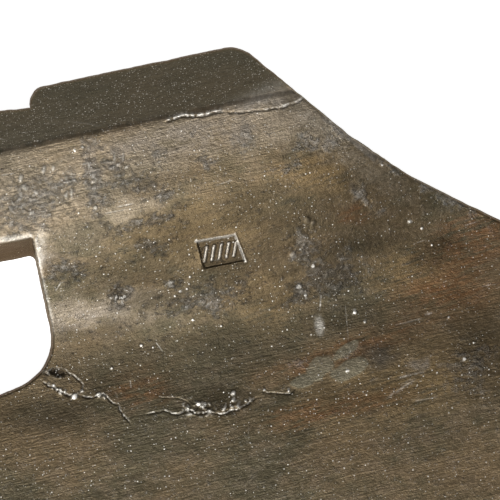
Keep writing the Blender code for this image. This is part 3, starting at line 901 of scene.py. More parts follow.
# Room: floor, lights and camera, in metres and watts.
FLOOR_HALF = 1.5
FLOOR_GAP = 0.0002
FLOOR_LOOK = {
    "Base Color": (0.9, 0.9, 0.9, 1.0),
    "Roughness": 0.9,
    "Emission Color": (1.0, 1.0, 1.0, 1.0),
    "Emission Strength": 0.9,
}
KEY_PLACE = (-0.24, -0.58, 0.62)
KEY_AIM = (-0.04, 0.02, 0.0)
KEY_SIZE = 0.42
KEY_POWER = 6.8
ROOM_COLOUR = (0.8, 0.8, 0.8, 1.0)
ROOM_STRENGTH = 0.28
CAMERA_DISTANCE = 4.0
CAMERA_SENSOR = 36.0
CAMERA_REACH = 10.0
FACE_LEVEL = 0.012


def path_of(pixels):
    return np.array([photo_point(px, py) for px, py in pixels])


def beside(path, x, y):
    """Signed distance from a path, positive on its poll side, and the share of the way along it."""
    nearest = np.full(np.shape(x), np.inf)
    side = np.zeros(np.shape(x))
    share = np.zeros(np.shape(x))
    lengths = np.linalg.norm(np.diff(path, axis=0), axis=1)
    done = 0.0
    for start, end, length in zip(path[:-1], path[1:], lengths):
        along = (end - start) / length
        from_x, from_y = x - start[0], y - start[1]
        t = np.clip(from_x * along[0] + from_y * along[1], 0.0, length)
        gap = np.hypot(from_x - t * along[0], from_y - t * along[1])
        closer = gap < nearest
        nearest = np.where(closer, gap, nearest)
        side = np.where(closer, along[0] * from_y - along[1] * from_x, side)
        share = np.where(closer, (done + t) / lengths.sum(), share)
        done += length
    return nearest * np.where(side < 0, -1.0, 1.0), share


def taper(share, rise=0.06):
    """Fades a seam in and out at its two ends."""
    return smoothstep(share / rise) * smoothstep((1.0 - share) / rise)


def hump(distance, width):
    return np.exp(-((distance / width) ** 2))


def lap(distance, step, reach, crevice):
    """A lapped weld: the poll side stands proud and falls into a narrow crevice."""
    proud = np.where(distance > 0, step * np.exp(-np.abs(distance) / reach), 0.0)
    return proud * smoothstep(distance / 0.35) - crevice * hump(distance + CREVICE_OFFSET, CREVICE_WIDTH)


def ellipse(px, py, middle_x, middle_y, half_x, half_y, turn=10, soft=0.9):
    """A soft elliptical mask over pixels of the photograph."""
    c, s = math.cos(math.radians(turn)), math.sin(math.radians(turn))
    right, down = px - middle_x, py - middle_y
    reach = np.hypot((right * c - down * s) / half_x, (right * s + down * c) / half_y)
    return 1.0 - smoothstep((reach - 1.0 + soft) / (2 * soft))


def pits(x, y, size, seed):
    """Round-bottomed pits, one in most cells, from 0 on the surface to 1 at their bottoms."""
    u, v = x / size, y / size
    column, row = np.floor(u), np.floor(v)
    deep = np.zeros(np.shape(x))
    for i in (-1, 0, 1):
        for j in (-1, 0, 1):
            a, b = column + i, row + j
            from_u = u - a - hashed(a, b, seed)
            from_v = v - b - hashed(a, b, seed + 1)
            radius = 0.25 + 0.4 * hashed(a, b, seed + 2)
            here = 1.0 - (from_u**2 + from_v**2) / radius**2
            deep = np.maximum(deep, here * hashed(a, b, seed + 3))
    return deep


def mark_depth(x, y):
    """Distance inside the struck mark's walls and inside its two lit walls, and its strokes."""
    corners = path_of(MARK_CORNERS)
    walls = []
    for start, end in zip(corners, np.roll(corners, -1, axis=0)):
        along = unit(end - start)
        walls.append(along[1] * (x - start[0]) - along[0] * (y - start[1]))
    wobble = waves(x, y, WALL_WAVES)
    inner = np.minimum.reduce(walls) + wobble
    lit = np.minimum(walls[0], walls[1]) + wobble
    middle = corners.mean(axis=0)
    slant = unit((corners[1] + corners[2]) / 2 - (corners[0] + corners[3]) / 2)
    along = (x - middle[0]) * slant[0] + (y - middle[1]) * slant[1]
    across = (y - middle[1]) * slant[0] - (x - middle[0]) * slant[1]
    strokes = np.zeros(np.shape(x))
    for number in range(STROKE_COUNT):
        place = (number - (STROKE_COUNT - 1) / 2) * STROKE_PITCH
        u = along - place - across * math.tan(STROKE_LEAN)
        end = smoothstep((STROKE_HALF_LENGTH - np.abs(across)) / 0.5)
        strokes = np.maximum(strokes, smoothstep((STROKE_HALF_WIDTH + 0.2 - np.abs(u)) / 0.4) * end)
    return inner, lit, strokes


def mask(px, py, patches):
    """The union of patches, from 0 to 1."""
    made = np.zeros(np.shape(px))
    for patch in patches.values():
        made = np.maximum(made, ellipse(px, py, *patch))
    return made


def waves(x, y, rows):
    """The sum of noises given as (height, size, seed, stretch)."""
    return sum(height * noise(x, y, size, seed, stretch) for height, size, seed, stretch in rows.values())


class Marks:
    """Heights that forging, rust and wear add at points of the face, and the masks of its material,
    painted highlights and shade among them.
    """

    def __init__(self, x, y):
        self.x, self.y = x, y
        self.px, self.py = photo_pixel(x, y)
        self.rough = noise(x, y, *ROUGH_NOISE)
        self.crumbly = noise(x, y, *CRUMBLY_NOISE)
        self.warped = (
            self.px + WARP_X * noise(x, y, *WARP_NOISE_X) + WARP_ROUGH_X * self.rough,
            self.py + WARP_Y * noise(x, y, *WARP_NOISE_Y) - WARP_ROUGH_Y * self.rough,
        )
        self.height = waves(x, y, FORGING_WAVES)
        self.pale = np.zeros(np.shape(x))
        self.painted_shade = np.zeros(np.shape(x))
        self.add_seams()
        self.add_beads()
        self.add_dents_and_ticks()
        self.add_scratches()
        self.add_pits()
        self.add_crumbs()
        self.add_slag()
        self.add_chamfer()
        self.strike_mark()
        self.paint_notch_highlights()

    def lighten(self, tone):
        self.pale = np.maximum(self.pale, tone)

    def paint_shade(self, tone):
        self.painted_shade = np.maximum(self.painted_shade, tone)

    def from_path(self, pixels):
        return beside(path_of(pixels), self.x, self.y)

    def patchy(self, patches):
        """A mask whose patches have rough borders."""
        return mask(*self.warped, patches)

    def add_seams(self):
        broken = smoothstep(0.50 + 0.8 * self.crumbly + 0.6 * self.rough)
        for path, step, reach, crevice, lip, shade, width in SEAMS.values():
            distance, share = self.from_path(path)
            ends = taper(share)
            distance = distance + 0.22 * self.rough + 0.18 * self.crumbly
            self.height += lap(distance, step, reach, crevice) * ends
            # Each lip gets a painted highlight and each crevice painted shade.
            self.lighten(lip * hump(distance - 0.8 * width, width) * ends * broken)
            gap = hump(distance + CREVICE_OFFSET, CREVICE_WIDTH)
            self.paint_shade(shade * gap * ends * (0.5 + 0.5 * broken))

    def add_beads(self):
        for x, y, radius, rise, tone in BEADS.values():
            reach = np.hypot(self.px - x, self.py - y) / radius
            uneven = 1.0 + 0.25 * self.rough + 0.15 * self.crumbly
            dome = np.clip(1.0 - (reach * uneven) ** 2, 0.0, 1.0)
            lumpy = 1.0 + 0.7 * self.crumbly * smoothstep((radius - 2.5) / 1.5)
            self.height += rise * lumpy * np.sqrt(dome)
            # A painted highlight on each bead's top.
            self.lighten(tone * smoothstep(dome * 2.2))

    def add_dents_and_ticks(self):
        for *place, depth in DENTS.values():
            hollow = ellipse(self.px, self.py, *place, 0.4)
            self.height -= depth * hollow
            # Deeper dents get painted shade.
            self.paint_shade(hollow * smoothstep((depth - 0.22) / 0.3) * 0.9)
        for *place, rise in TICKS.values():
            raised = ellipse(self.px, self.py, *place, 0.45)
            self.height += rise * raised
            # Raised ticks get a painted highlight.
            self.lighten(TICK_HIGHLIGHT * raised)

    def add_scratches(self):
        for start, end, half, tone in SCRATCHES.values():
            distance, share = self.from_path((start, end))
            line = hump(distance + 0.10 * self.rough, 0.8 * half * PIXEL) * taper(share, 0.2)
            self.height -= SCRATCH_DEPTH * line
            self.lighten(SCRATCH_PALE * tone * line * np.clip(0.7 + 0.8 * self.crumbly, 0.1, 1.0))
        # Pale smears; the one at the facet's end is painted light over its shaded slope.
        for *place, tone in SMEARS.values():
            smear = tone * ellipse(self.px, self.py, *place)
            self.lighten(smear * np.clip(1.0 + 0.8 * self.crumbly, 0.0, 2.0))

    def add_pits(self):
        self.pitted = self.patchy(PITTED_PATCHES)
        deep = sum(depth * pits(self.x, self.y, size, seed) for depth, size, seed in PITS.values())
        self.height -= deep * smoothstep(self.pitted * 1.6)
        hammered = np.maximum(self.patchy(HAMMERED_PATCHES), 0.25 * self.pitted)
        self.height += waves(self.x, self.y, HAMMERED_WAVES) * hammered

    def add_crumbs(self):
        crumbs = mask(self.px, self.py, CRUMBLY_PATCHES)
        crumb = np.clip(waves(self.x, self.y, CRUMB_WAVES) + 0.1, 0.0, 1.0)
        self.height += CRUMB_HEIGHT * crumb * crumbs - CRUMB_BED * crumbs
        # Painted highlights on the crumbs' tops and painted shade between them.
        self.lighten(crumbs * smoothstep((crumb - 0.42) / 0.3) * CRUMB_HIGHLIGHT)
        self.paint_shade(crumbs * smoothstep((0.16 - crumb) / 0.16) * CRUMB_SHADE)

    def add_slag(self):
        half_warped = (
            0.6 * self.px + 0.4 * self.warped[0],
            0.6 * self.py + 0.4 * self.warped[1],
        )
        self.slag = mask(*half_warped, SLAG_PATCHES)
        self.height += SLAG_HEIGHT * smoothstep(self.slag * 1.4)

    def add_chamfer(self):
        """The filed edge of the waist, which shows bare metal."""
        distance, share = self.from_path(CHAMFER)
        ends = taper(share, 0.12)
        bevel = smoothstep((distance + CHAMFER_WIDTH) / 0.7) * ends
        self.height -= CHAMFER_SLOPE * np.clip(distance + CHAMFER_WIDTH, 0.0, CHAMFER_REACH) * ends
        self.lighten(CHAMFER_PALE * bevel)
        self.filed = bevel * smoothstep((distance + 2.4) / 0.4)

    def strike_mark(self):
        inner, lit, strokes = mark_depth(self.x, self.y)
        sunk = smoothstep((inner + 0.15) / MARK_WALL)
        self.height += MARK_DEPTH * (0.85 * strokes - 1.0) * sunk
        self.height += MARK_RIM * hump(inner + 0.40, 0.32) * (1.0 - sunk)
        # Painted highlights on the two lit walls and on the strokes' crests.
        rim = hump(lit + 0.05, 0.32) * smoothstep((inner + 0.6) / 0.4)
        crest = smoothstep((strokes - 0.55) / 0.4) * sunk * np.clip(0.75 + 0.6 * self.crumbly, 0.1, 1.0)
        self.lighten(MARK_RIM_HIGHLIGHT * rim + STROKE_HIGHLIGHT * crest)
        # Painted shade in the sunk field and along the two unlit walls.
        self.paint_shade(MARK_SHADE * sunk * (1.0 - strokes) * (1.0 - rim))
        self.paint_shade(0.5 * hump(inner, 0.35) * (1.0 - smoothstep((0.9 - lit) / 0.5)))

    def paint_notch_highlights(self):
        """The lip, the neck and the corner of the notch: rubbed, and given painted highlights."""
        lip, share = self.from_path(LIP_HIGHLIGHT_LINE)
        neck, share_down = self.from_path(NECK_HIGHLIGHT_LINE)
        broken = np.clip(0.75 + 0.7 * self.crumbly, 0.1, 1.0)
        self.lighten(LIP_HIGHLIGHT * hump(lip, 0.9) * smoothstep((1.0 - share) / 0.02) * broken)
        down_neck = NECK_HIGHLIGHT + NECK_TOP_HIGHLIGHT * smoothstep((0.35 - share_down) / 0.2)
        self.lighten(down_neck * hump(neck, 0.45) * broken)
        corner = ellipse(self.px, self.py, *CORNER_HIGHLIGHT_PATCH) * np.clip(0.8 + 0.8 * self.crumbly, 0.0, 1.0)
        self.lighten(CORNER_HIGHLIGHT * corner)

    def masks(self):
        """The masks of the face that the material reads, by name and from 0 to 1."""
        dim = np.maximum(self.patchy(DIM_PATCHES), 0.5 * self.patchy(FAINT_DIM_PATCHES))
        past_ridge = self.y - ridge_line(self.x)
        facet_side, _ = self.from_path(FACET_END)
        facet_end = smoothstep(0.5 + (facet_side + 0.5 * self.rough) / 2.4)
        return {
            "pale": np.clip(self.pale, 0.0, 1.0),
            "painted_shade": np.clip(self.painted_shade, 0.0, 1.0),
            "pitted": self.pitted,
            "slag": self.slag,
            "mauve": np.maximum(self.patchy(MAUVE_PATCHES), self.filed),
            "worn_and_sheen": self.patchy(WORN_AND_SHEEN_PATCHES),
            "golden": self.patchy(GOLDEN_PATCHES),
            "rusty": self.patchy(RUSTY_PATCHES),
            "dim": dim * (1.0 - 0.6 * self.slag),
            "facet": smoothstep((past_ridge + 0.7 + 0.8 * self.rough) / 1.8) * facet_end,
        }


def surface(points):
    """Height of the marked face over points of the drawing frame."""
    return face_height(points[:, 0], points[:, 1]) + Marks(points[:, 0], points[:, 1]).height


def lattice(low, high, step):
    """Staggered points over a rectangle."""
    row_step = step * math.sqrt(3) / 2
    rows = []
    for number, y in enumerate(np.arange(low[1], high[1] + row_step, row_step)):
        xs = np.arange(low[0] + (number % 2) * step / 2, high[0] + step, step)
        rows.append(np.stack((xs, np.full(len(xs), y)), axis=1))
    return np.vstack(rows)


def strip(path, offsets, step):
    """Rows of points at set distances from a path."""
    rows = []
    for start, end in zip(path[:-1], path[1:]):
        length = np.linalg.norm(end - start)
        along = (end - start) / length
        across = np.array((-along[1], along[0]))
        for place in np.arange(0.0, length, step):
            rows += [start + along * place + across * offset for offset in offsets]
    return np.array(rows)


def clear_of(points, path, distance):
    gap, _ = beside(path, points[:, 0], points[:, 1])
    return points[np.abs(gap) > distance]


def spaced(points, gap):
    """Drops points that share a small cell, so that no sliver triangles come of them."""
    cells = np.round(points / gap).astype(np.int64)
    _, first = np.unique(cells, axis=0, return_index=True)
    return points[np.sort(first)]


def within(points, middle, half):
    """Which points lie in an upright ellipse over the photograph."""
    px, py = photo_pixel(points[:, 0], points[:, 1])
    return np.hypot((px - middle[0]) / half[0], (py - middle[1]) / half[1]) < 1.0


def rings(middle, radii):
    """Points on circles around a pixel of the photograph, with more points on wider circles."""
    x, y = photo_point(*middle)
    made = [(x, y)]
    for number, radius in enumerate(radii):
        count = 6 + 5 * number
        turns = np.arange(count) * 2 * math.pi / count + number
        made += list(zip(x + radius * np.cos(turns), y + radius * np.sin(turns)))
    return np.array(made)


def face_points(loop):
    """Loose points of the face, dense in the photograph's window and densest where there is detail."""
    low, high = loop.min(axis=0), loop.max(axis=0)
    coarse = lattice(low, high, COARSE_STEP)
    coarse = coarse[in_view(coarse[:, 0], coarse[:, 1]) < MIDDLE_FROM]
    middle = lattice(low, high, MIDDLE_STEP)
    seen = in_view(middle[:, 0], middle[:, 1])
    middle = middle[(seen >= MIDDLE_FROM) & (seen < FINE_FROM)]
    fine = lattice(low, high, FINE_STEP)
    fine = fine[in_view(fine[:, 0], fine[:, 1]) >= FINE_FROM]
    points = np.vstack((coarse, middle, fine))
    for centre, half, step in FINE_PATCHES.values():
        reach = np.array(half) * PIXEL
        corner = np.array(photo_point(*centre))
        patch = lattice(corner - reach.max() * 1.1, corner + reach.max() * 1.1, step)
        outside = points[~within(points, centre, half)]
        points = np.vstack((outside, patch[within(patch, centre, half)]))
    xs = np.linspace(low[0], high[0], LINE_POINTS)
    ridge = np.stack((xs, ridge_line(xs)), axis=1)
    grind = np.stack((xs, edge_line(xs) + BEVEL_WIDTH), axis=1)
    rows = [(ridge, RIDGE_ROWS, RIDGE_SPACING), (grind, GRIND_ROWS, GRIND_SPACING)]
    rows += [(path_of(seam[0]), SEAM_ROWS, SEAM_SPACING) for seam in SEAMS.values()]
    for scratch in SCRATCHES.values():
        rows.append((path_of(scratch[:2]), SCRATCH_ROWS, SEAM_SPACING))
    for path, offsets, step in rows:
        points = clear_of(points, path, max(offsets) + LINE_CLEARANCE)
        points = np.vstack((points, spaced(strip(path, offsets, step), LINE_GAP)))
    for x, y, radius, _, _ in BEADS.values():
        points = points[~within(points, (x, y), (radius + BEAD_MARGIN, radius + BEAD_MARGIN))]
        widths = [share * (radius * PIXEL) for share in BEAD_RINGS]
        points = np.vstack((points, rings((x, y), widths)))
    return spaced(points, POINT_GAP)


def near_loop(points, loop, distance):
    """Which points lie nearer to the loop than a distance."""
    tree = KDTree(len(loop))
    for number, point in enumerate(loop):
        tree.insert((point[0], point[1], 0.0), number)
    tree.balance()
    return np.array([tree.find((x, y, 0.0))[2] < distance for x, y in points])


def fill(loop, loose):
    """Triangles that fill a loop: points, triangles, and where each loop point went."""
    count = len(loop)
    points = [Vector(p) for p in np.vstack((loop, loose))]
    edges = [(i, (i + 1) % count) for i in range(count)]
    made, _, triangles, origins, _, _ = delaunay_2d_cdt(points, edges, [], 1, MERGE)
    place = {}
    for index, sources in enumerate(origins):
        for source in sources:
            if source < count:
                place[source] = index
    return np.array(made), triangles, [place[i] for i in range(count)]


def fill_inside(loop, loose, clearance):
    """Fills a loop with those loose points that lie inside it and clear of it."""
    loose = loose[inside(loose, loop)]
    return fill(loop, loose[~near_loop(loose, loop, clearance)])


def between(first, last):
    """Two rings that part the wall between two others into three."""
    return [first + share * (last - first) for share in WALL_SHARES]


def side_rings(back_loop, face_loop):
    """Rings of points from the face's rim, down the folded side wall, to the back's rim."""
    face_in = inward_normals(face_loop)
    back_in = inward_normals(back_loop)
    top = surface(face_loop)
    bottom = back_height(back_loop[:, 0], back_loop[:, 1])
    rim = np.minimum(RIM_RADIUS, RIM_SHARE * (top - bottom))
    turns = [math.pi / 2 * step / RIM_STEPS for step in range(RIM_STEPS + 1)]
    made = []
    for turn in turns:
        at = face_loop + face_in * (rim * (1 - math.sin(turn)))[:, None]
        made.append(np.column_stack((at, surface(at) - rim * (1 - math.cos(turn)))))
    fold = fold_ring(made[-1], back_loop, bottom)
    low = np.column_stack((back_loop, bottom + rim))
    made += [*between(made[-1], fold), fold, *between(fold, low)]
    for turn in turns:
        at = back_loop + back_in * (rim * (1 - math.cos(turn)))[:, None]
        made.append(np.column_stack((at, bottom + rim * (1 - math.sin(turn)))))
    return made


def head_mesh(shift):
    """The whole head as one closed mesh before the eye is cut."""
    loops = outline_loops()
    levels = side_rings(loops[:, :2], loops[:, 2:])
    cap_loop, under_loop = levels[0][:, :2], levels[-1][:, :2]
    face, face_triangles, face_ring = fill_inside(cap_loop, face_points(cap_loop), LOOP_CLEARANCE)
    grid = lattice(under_loop.min(axis=0), under_loop.max(axis=0), BACK_STEP)
    under, under_triangles, under_ring = fill_inside(under_loop, grid, BACK_STEP * 0.5)
    under_z = back_height(under[:, 0], under[:, 1])
    verts = [np.column_stack((face, surface(face))), np.column_stack((under, under_z))]
    offset = len(face) + len(under)
    ring_index = [np.array(face_ring)]
    for level in levels[1:-1]:
        verts.append(level)
        ring_index.append(np.arange(offset, offset + len(level)))
        offset += len(level)
    ring_index.append(np.array(under_ring) + len(face))
    faces = [tuple(t) for t in face_triangles]
    faces += [tuple(i + len(face) for i in reversed(t)) for t in under_triangles]
    for upper, lower in zip(ring_index[:-1], ring_index[1:]):
        corners = (lower, np.roll(lower, -1), np.roll(upper, -1), upper)
        faces += list(zip(*(corner.tolist() for corner in corners)))
    placed = (np.vstack(verts) + np.array((shift[0], shift[1], 0.0))) / 1000.0
    mesh = bpy.data.meshes.new("axe_head_forged")
    mesh.from_pydata(placed.tolist(), [], faces)
    mesh.validate()
    mesh.shade_smooth()
    return mesh


def fold_ring(top_ring, back_loop, bottom):
    """The ring where each side wall folds, between the face's rim and the back's."""
    out = top_ring[:, :2] + (back_loop - top_ring[:, :2]) * WALL_FOLD_OUT
    up = bottom + (top_ring[:, 2] - bottom) * WALL_FOLD_UP
    return np.column_stack((out, up))


def socket_section():
    """Corners of the lug's end, as (y, z), counter-clockwise seen from the toe."""
    x = -LUG_LENGTH
    ridge = ridge_line(x)
    front = -(LIP_DISTANCE + UNDERSIDE_FLARE)
    rear = LUG_BACK + LUG_SPREAD
    slope = math.tan(POLL_SLOPE)
    crest = float(plate_height(x, ridge))
    return np.array([
        (front, 0.0),
        (rear, float(back_height(x, rear))),
        (rear, crest - slope * (rear - ridge)),
        (ridge, crest),
        (-LIP_DISTANCE, float(plate_height(x, -LIP_DISTANCE))),
    ])


def eye_cutter(shift):
    """A tapering bar of the eye's section, from past the mouth to past the slanted exit."""
    section = rounded(inset_corners(socket_section(), [EYE_WALL] * 5), [EYE_CORNER] * 5)
    floor = (section.min(axis=0) + section.max(axis=0)) / 2
    floor[1] = section[:, 1].min()
    length = TOE_BEND[0] + LUG_LENGTH
    verts = []
    for along in (-EYE_OVERRUN, length):
        scale = 1.0 - (1.0 - EYE_EXIT_SCALE) * along / length
        ring = floor + (section - floor) * scale
        x = (along - LUG_LENGTH + shift[0]) / 1000
        verts += [(x, (y + shift[1]) / 1000, z / 1000) for y, z in ring]
    count = len(section)
    faces = [(i, (i + 1) % count, (i + 1) % count + count, i + count) for i in range(count)]
    faces += [tuple(reversed(range(count))), tuple(range(count, 2 * count))]
    mesh = bpy.data.meshes.new("eye_cutter")
    mesh.from_pydata(verts, [], faces)
    made = bpy.data.objects.new("eye_cutter", mesh)
    bpy.context.scene.collection.objects.link(made)
    return made


def cut_eye(head, cutter):
    """Cuts the eye and leaves plain mesh, with no modifier and no cutter behind."""
    cut = head.modifiers.new("eye", "BOOLEAN")
    cut.operation = "DIFFERENCE"
    cut.solver = "EXACT"
    cut.object = cutter
    depsgraph = bpy.context.evaluated_depsgraph_get()
    made = bpy.data.meshes.new_from_object(head.evaluated_get(depsgraph))
    head.modifiers.clear()
    head.data = made
    bpy.data.objects.remove(cutter, do_unlink=True)


class Graph:
    """Short ways to add shader nodes and join them."""

    def __init__(self, material):
        material.use_nodes = True
        self.tree = material.node_tree
        self.shader = self.tree.nodes["Principled BSDF"]

    def node(self, kind, settings=None, **inputs):
        made = self.tree.nodes.new(kind)
        for name, value in (settings or {}).items():
            setattr(made, name, value)
        for name, value in inputs.items():
            self.feed(made.inputs[name], value)
        return made

    def feed(self, socket, value):
        if isinstance(value, bpy.types.NodeSocket):
            self.tree.links.new(value, socket)
        else:
            socket.default_value = value

    def maths(self, operation, *values):
        made = self.tree.nodes.new("ShaderNodeMath")
        made.operation = operation
        for socket, value in zip(made.inputs, values):
            self.feed(socket, value)
        return made.outputs[0]

    def plus(self, first, second):
        return self.maths("ADD", first, second)

    def times(self, first, second):
        return self.maths("MULTIPLY", first, second)

    def most(self, first, second):
        return self.maths("MAXIMUM", first, second)

    def spread(self, value, gain):
        """A factor around 1 that swings with a noise, and never falls below a tenth."""
        return self.maths("MAXIMUM", self.maths("MULTIPLY_ADD", value, gain, 1.0 - gain / 2), 0.1)

    def scaled(self, vector, factor):
        made = self.node("ShaderNodeVectorMath", {"operation": "SCALE"})
        self.feed(made.inputs[0], vector)
        self.feed(made.inputs["Scale"], factor)
        return made.outputs[0]

    def band(self, value, low, high):
        """0 below low, 1 above high and smooth between."""
        ends = {"From Min": low, "From Max": high}
        smooth = {"interpolation_type": "SMOOTHSTEP"}
        return self.node("ShaderNodeMapRange", smooth, Value=value, **ends).outputs["Result"]

    def noise(self, place, size, detail, roughness, offset, stretch, turn):
        """Noise from 0 to 1 whose features measure a size in millimetres, longer along a turned X."""
        turned = (0.0, 0.0, math.radians(turn))
        place = self.node("ShaderNodeMapping", Vector=place, Location=offset, Rotation=turned)
        scale = (1.0 / (size * stretch), 1.0 / size, 1.0 / size)
        place = self.node("ShaderNodeMapping", Vector=place.outputs[0], Scale=scale)
        made = dict(Vector=place.outputs[0], Scale=1.0, Detail=detail, Roughness=roughness)
        return self.node("ShaderNodeTexNoise", **made).outputs["Fac"]

    def specks(self, place, size, share, radius):
        """Round dots of mixed size and strength in a share of the cells of a size in millimetres."""
        cells = self.node("ShaderNodeTexVoronoi", Vector=self.scaled(place, 1.0 / size), Scale=1.0)
        split = self.node("ShaderNodeSeparateColor", Color=cells.outputs["Color"])
        lit = self.band(split.outputs["Red"], 1.0 - share, 1.0 - 0.9 * share)
        reach = self.maths("MULTIPLY_ADD", split.outputs["Green"], radius * 0.9, radius * 0.4)
        near = self.maths("SUBTRACT", 1.0, self.maths("DIVIDE", cells.outputs["Distance"], reach))
        strength = self.maths("MULTIPLY_ADD", split.outputs["Blue"], 0.8, 0.2)
        return self.times(self.times(self.band(near, 0.0, 0.5), lit), strength)

    def mix(self, share, first, second):
        made = self.node("ShaderNodeMix", {"data_type": "RGBA", "clamp_factor": True})
        colour_inputs = [socket for socket in made.inputs if socket.type == "RGBA"]
        self.feed(made.inputs["Factor"], share)
        self.feed(colour_inputs[0], first)
        self.feed(colour_inputs[1], second)
        return [socket for socket in made.outputs if socket.type == "RGBA"][0]

    def attribute(self, name):
        return self.node("ShaderNodeAttribute", {"attribute_name": name}).outputs["Fac"]


def forged_iron():
    """Brown patina with golden, rusty and blue-grey patches, brush lines, pits and pale grains, and
    painted sheen, glints, highlights and shade.
    """
    material = bpy.data.materials.new("forged_iron_look")
    g = Graph(material)
    mm = g.scaled(g.node("ShaderNodeTexCoord").outputs["Object"], 1000.0)
    noises = {name: g.noise(mm, *row) for name, row in NOISES.items()}
    blotch, spots, grain, fine = (noises[name] for name in ("blotch", "spots", "grain", "fine"))

    def lay(colour, layers):
        for name, (over, first, second, part, low, high, share) in layers.items():
            broken = g.band(g.plus(noises[first], g.times(noises[second], part)), low, high)
            colour = g.mix(g.times(g.times(g.attribute(name), broken), share), colour, over)
        return colour

    brown = g.plus(noises["broad"], g.times(blotch, 0.6))
    colour = g.mix(g.band(brown, *FADES["brown"]), OLIVE, BROWN)
    colour = g.mix(g.times(g.band(blotch, *FADES["mauve"]), SHARES["mauve"]), colour, MAUVE)
    colour = lay(colour, LAYERS_UNDER_PITS)

    # Blue-grey, finely pitted patches, with some in every part of the face.
    scatter = g.plus(g.times(g.attribute("pitted"), 0.26), g.times(spots, 1.3))
    pitted = g.band(scatter, *FADES["pitted"])
    flecks = g.mix(g.band(grain, *FADES["grey"]), PIT_DARK, PIT_GREY)
    # The brightest flecks in the pitted patches are painted glints.
    painted_glints = g.band(g.plus(grain, g.times(fine, 0.8)), *FADES["painted_glints"])
    flecks = g.mix(painted_glints, flecks, PIT_PAINTED_GLINT)
    colour = g.mix(g.times(pitted, SHARES["pitted"]), colour, flecks)

    colour = lay(colour, LAYERS_OVER_PITS)
    # Painted shade on the facet that faces away from the lamp.
    colour = g.mix(g.times(g.attribute("facet"), SHARES["facet"]), colour, FACET_PAINTED_SHADE)
    slag = g.band(g.plus(g.attribute("slag"), g.times(spots, 0.8)), *FADES["slag"])
    colour = g.mix(g.times(slag, SHARES["slag"]), colour, SLAG)
    # Steep walls are painted in shade.
    colour = g.mix(g.times(g.attribute("steep"), SHARES["wall"]), colour, WALL_PAINTED_SHADE)

    # Fine grain and brush lines darken and lighten everything.
    swings = [g.spread(noises[name], gain) for name, gain in TONE_SWINGS.items()]
    swings.append(g.maths("MULTIPLY_ADD", g.attribute("dim"), DIM_TONE, 1.0))
    swings.append(g.maths("MULTIPLY_ADD", pitted, PITTED_TONE, 1.0))
    colour = g.scaled(colour, reduce(g.times, swings))
    # Painted shade in crevices, dents, gaps between crumbs and the struck mark.
    colour = g.mix(g.attribute("painted_shade"), colour, PAINTED_SHADE)

    # Pale grains of dust and bare metal, partly painted glints, and the pale marks with their painted
    # highlights.
    large, small, dust = (g.specks(mm, *row) for row in SPECKS.values())
    small = g.times(small, SHARES["small_grains"])
    dust = g.times(g.times(dust, g.attribute("facet")), SHARES["facet_dust"])
    grains = g.times(g.most(g.most(large, small), dust), SHARES["grains"])
    swings = [g.spread(noises[name], gain) for name, gain in PALE_SWINGS.items()]
    pale = g.times(g.attribute("pale"), reduce(g.times, swings))
    colour = g.mix(g.most(grains, pale), colour, PALE)

    g.feed(g.shader.inputs["Base Color"], colour)
    g.shader.inputs["Metallic"].default_value = METALLIC
    g.shader.inputs["Specular Tint"].default_value = EDGE_TINT
    smooth = g.plus(g.times(pitted, PITTED_ROUGHNESS), ROUGHNESS)
    g.feed(g.shader.inputs["Roughness"], g.plus(g.times(grain, GRAIN_ROUGHNESS), smooth))

    # Relief that is finer than the mesh, in millimetres.
    heights = [g.times(noises[name], rise) for name, rise in BUMP_HEIGHTS.items()]
    heights.append(g.times(g.times(noises["dimple"], pitted), DIMPLE_BUMP))
    heights.append(g.times(grains, GRAIN_BUMP))
    bump = g.node("ShaderNodeBump", Height=reduce(g.plus, heights), Strength=1.0, Distance=0.001)
    g.feed(g.shader.inputs["Normal"], bump.outputs["Normal"])
    return material


def add_masks(mesh, shift):
    """Writes the masks of the marks on the mesh, for its material to read."""
    count = len(mesh.vertices)
    places = np.empty(count * 3)
    normals = np.empty(count * 3)
    mesh.vertices.foreach_get("co", places)
    mesh.vertices.foreach_get("normal", normals)
    places = places.reshape(count, 3) * 1000.0 - np.array((shift[0], shift[1], 0.0))
    x, y = places[:, 0], places[:, 1]
    above_back = places[:, 2] - back_height(x, y)
    on_face = smoothstep((above_back - BACK_MARGIN) / BACK_MARGIN)
    steep = smoothstep((STEEP_BELOW - normals.reshape(count, 3)[:, 2]) / STEEP_SPREAD)
    made = Marks(x, y).masks()
    made["pale"] *= 1.0 - PALE_LOST_ON_WALLS * steep
    layers = {"steep": steep}
    layers.update({name: values * on_face for name, values in made.items()})
    for name, values in layers.items():
        mesh.attributes.new(name, "FLOAT", "POINT").data.foreach_set("value", values.astype(np.float32))


def link(thing):
    bpy.context.scene.collection.objects.link(thing)
    return thing


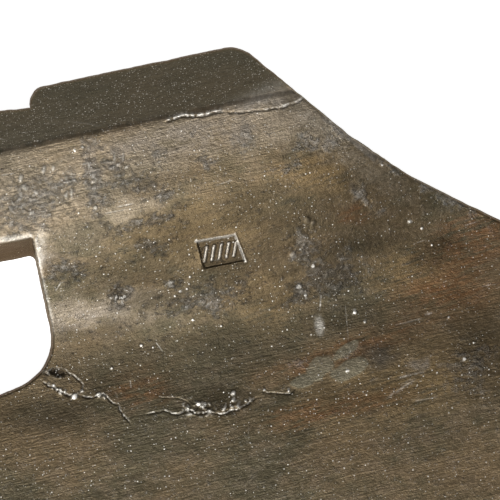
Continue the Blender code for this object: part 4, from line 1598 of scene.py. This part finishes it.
def make_floor(box_low):
    mesh = bpy.data.meshes.new("floor")
    corners = [(x * FLOOR_HALF, y * FLOOR_HALF, 0) for x, y in ((-1, -1), (1, -1), (1, 1), (-1, 1))]
    mesh.from_pydata(corners, [], [(0, 1, 2, 3)])
    floor = link(bpy.data.objects.new("floor", mesh))
    floor.location.z = box_low - FLOOR_GAP
    material = bpy.data.materials.new("floor_paper")
    shader = Graph(material).shader
    for name, value in FLOOR_LOOK.items():
        shader.inputs[name].default_value = value
    mesh.materials.append(material)
    floor.visible_diffuse = False


def add_lights():
    """A soft lamp in front of the cutting edge, and an even glow from all around."""
    data = bpy.data.lights.new("key", "AREA")
    data.shape = "RECTANGLE"
    data.size = data.size_y = KEY_SIZE
    data.energy = KEY_POWER
    light = link(bpy.data.objects.new("key", data))
    light.location = KEY_PLACE
    aim = Vector(KEY_AIM) - Vector(KEY_PLACE)
    light.rotation_euler = aim.to_track_quat("-Z", "Y").to_euler()
    world = bpy.data.worlds.new("room")
    world.use_nodes = True
    glow = world.node_tree.nodes["Background"].inputs
    glow["Color"].default_value = ROOM_COLOUR
    glow["Strength"].default_value = ROOM_STRENGTH
    bpy.context.scene.world = world


def add_camera(shift):
    """Straight down over the photograph's middle, turned so that the handle's axis rises to the right."""
    data = bpy.data.cameras.new("camera")
    data.sensor_width = CAMERA_SENSOR
    data.lens = data.sensor_width * CAMERA_DISTANCE / (PHOTO_SIZE * PIXEL / 1000)
    data.clip_end = CAMERA_REACH
    camera = link(bpy.data.objects.new("camera", data))
    middle_x = (PHOTO_MIDDLE[0] + shift[0]) / 1000
    middle_y = (PHOTO_MIDDLE[1] + shift[1]) / 1000
    camera.location = (middle_x, middle_y, FACE_LEVEL + CAMERA_DISTANCE)
    camera.rotation_euler = (0.0, 0.0, -PHOTO_TURN)
    bpy.context.scene.camera = camera


def main():
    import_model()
    low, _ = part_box("axe_head")
    rows = outline_corners()
    plain = rounded(np.array([row[0] for row in rows]), [row[1] for row in rows])
    shift = np.array(low[:2]) * 1000 - plain.min(axis=0)
    head = link(bpy.data.objects.new("axe_head_forged", head_mesh(shift)))
    cut_eye(head, eye_cutter(shift))
    head.data.materials.clear()
    head.data.materials.append(forged_iron())
    add_masks(head.data, shift)
    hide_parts("axe_head")
    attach(head, "root")
    make_floor(low[2])
    add_camera(shift)
    add_lights()
    bpy.context.scene.view_settings.view_transform = "Standard"


main()
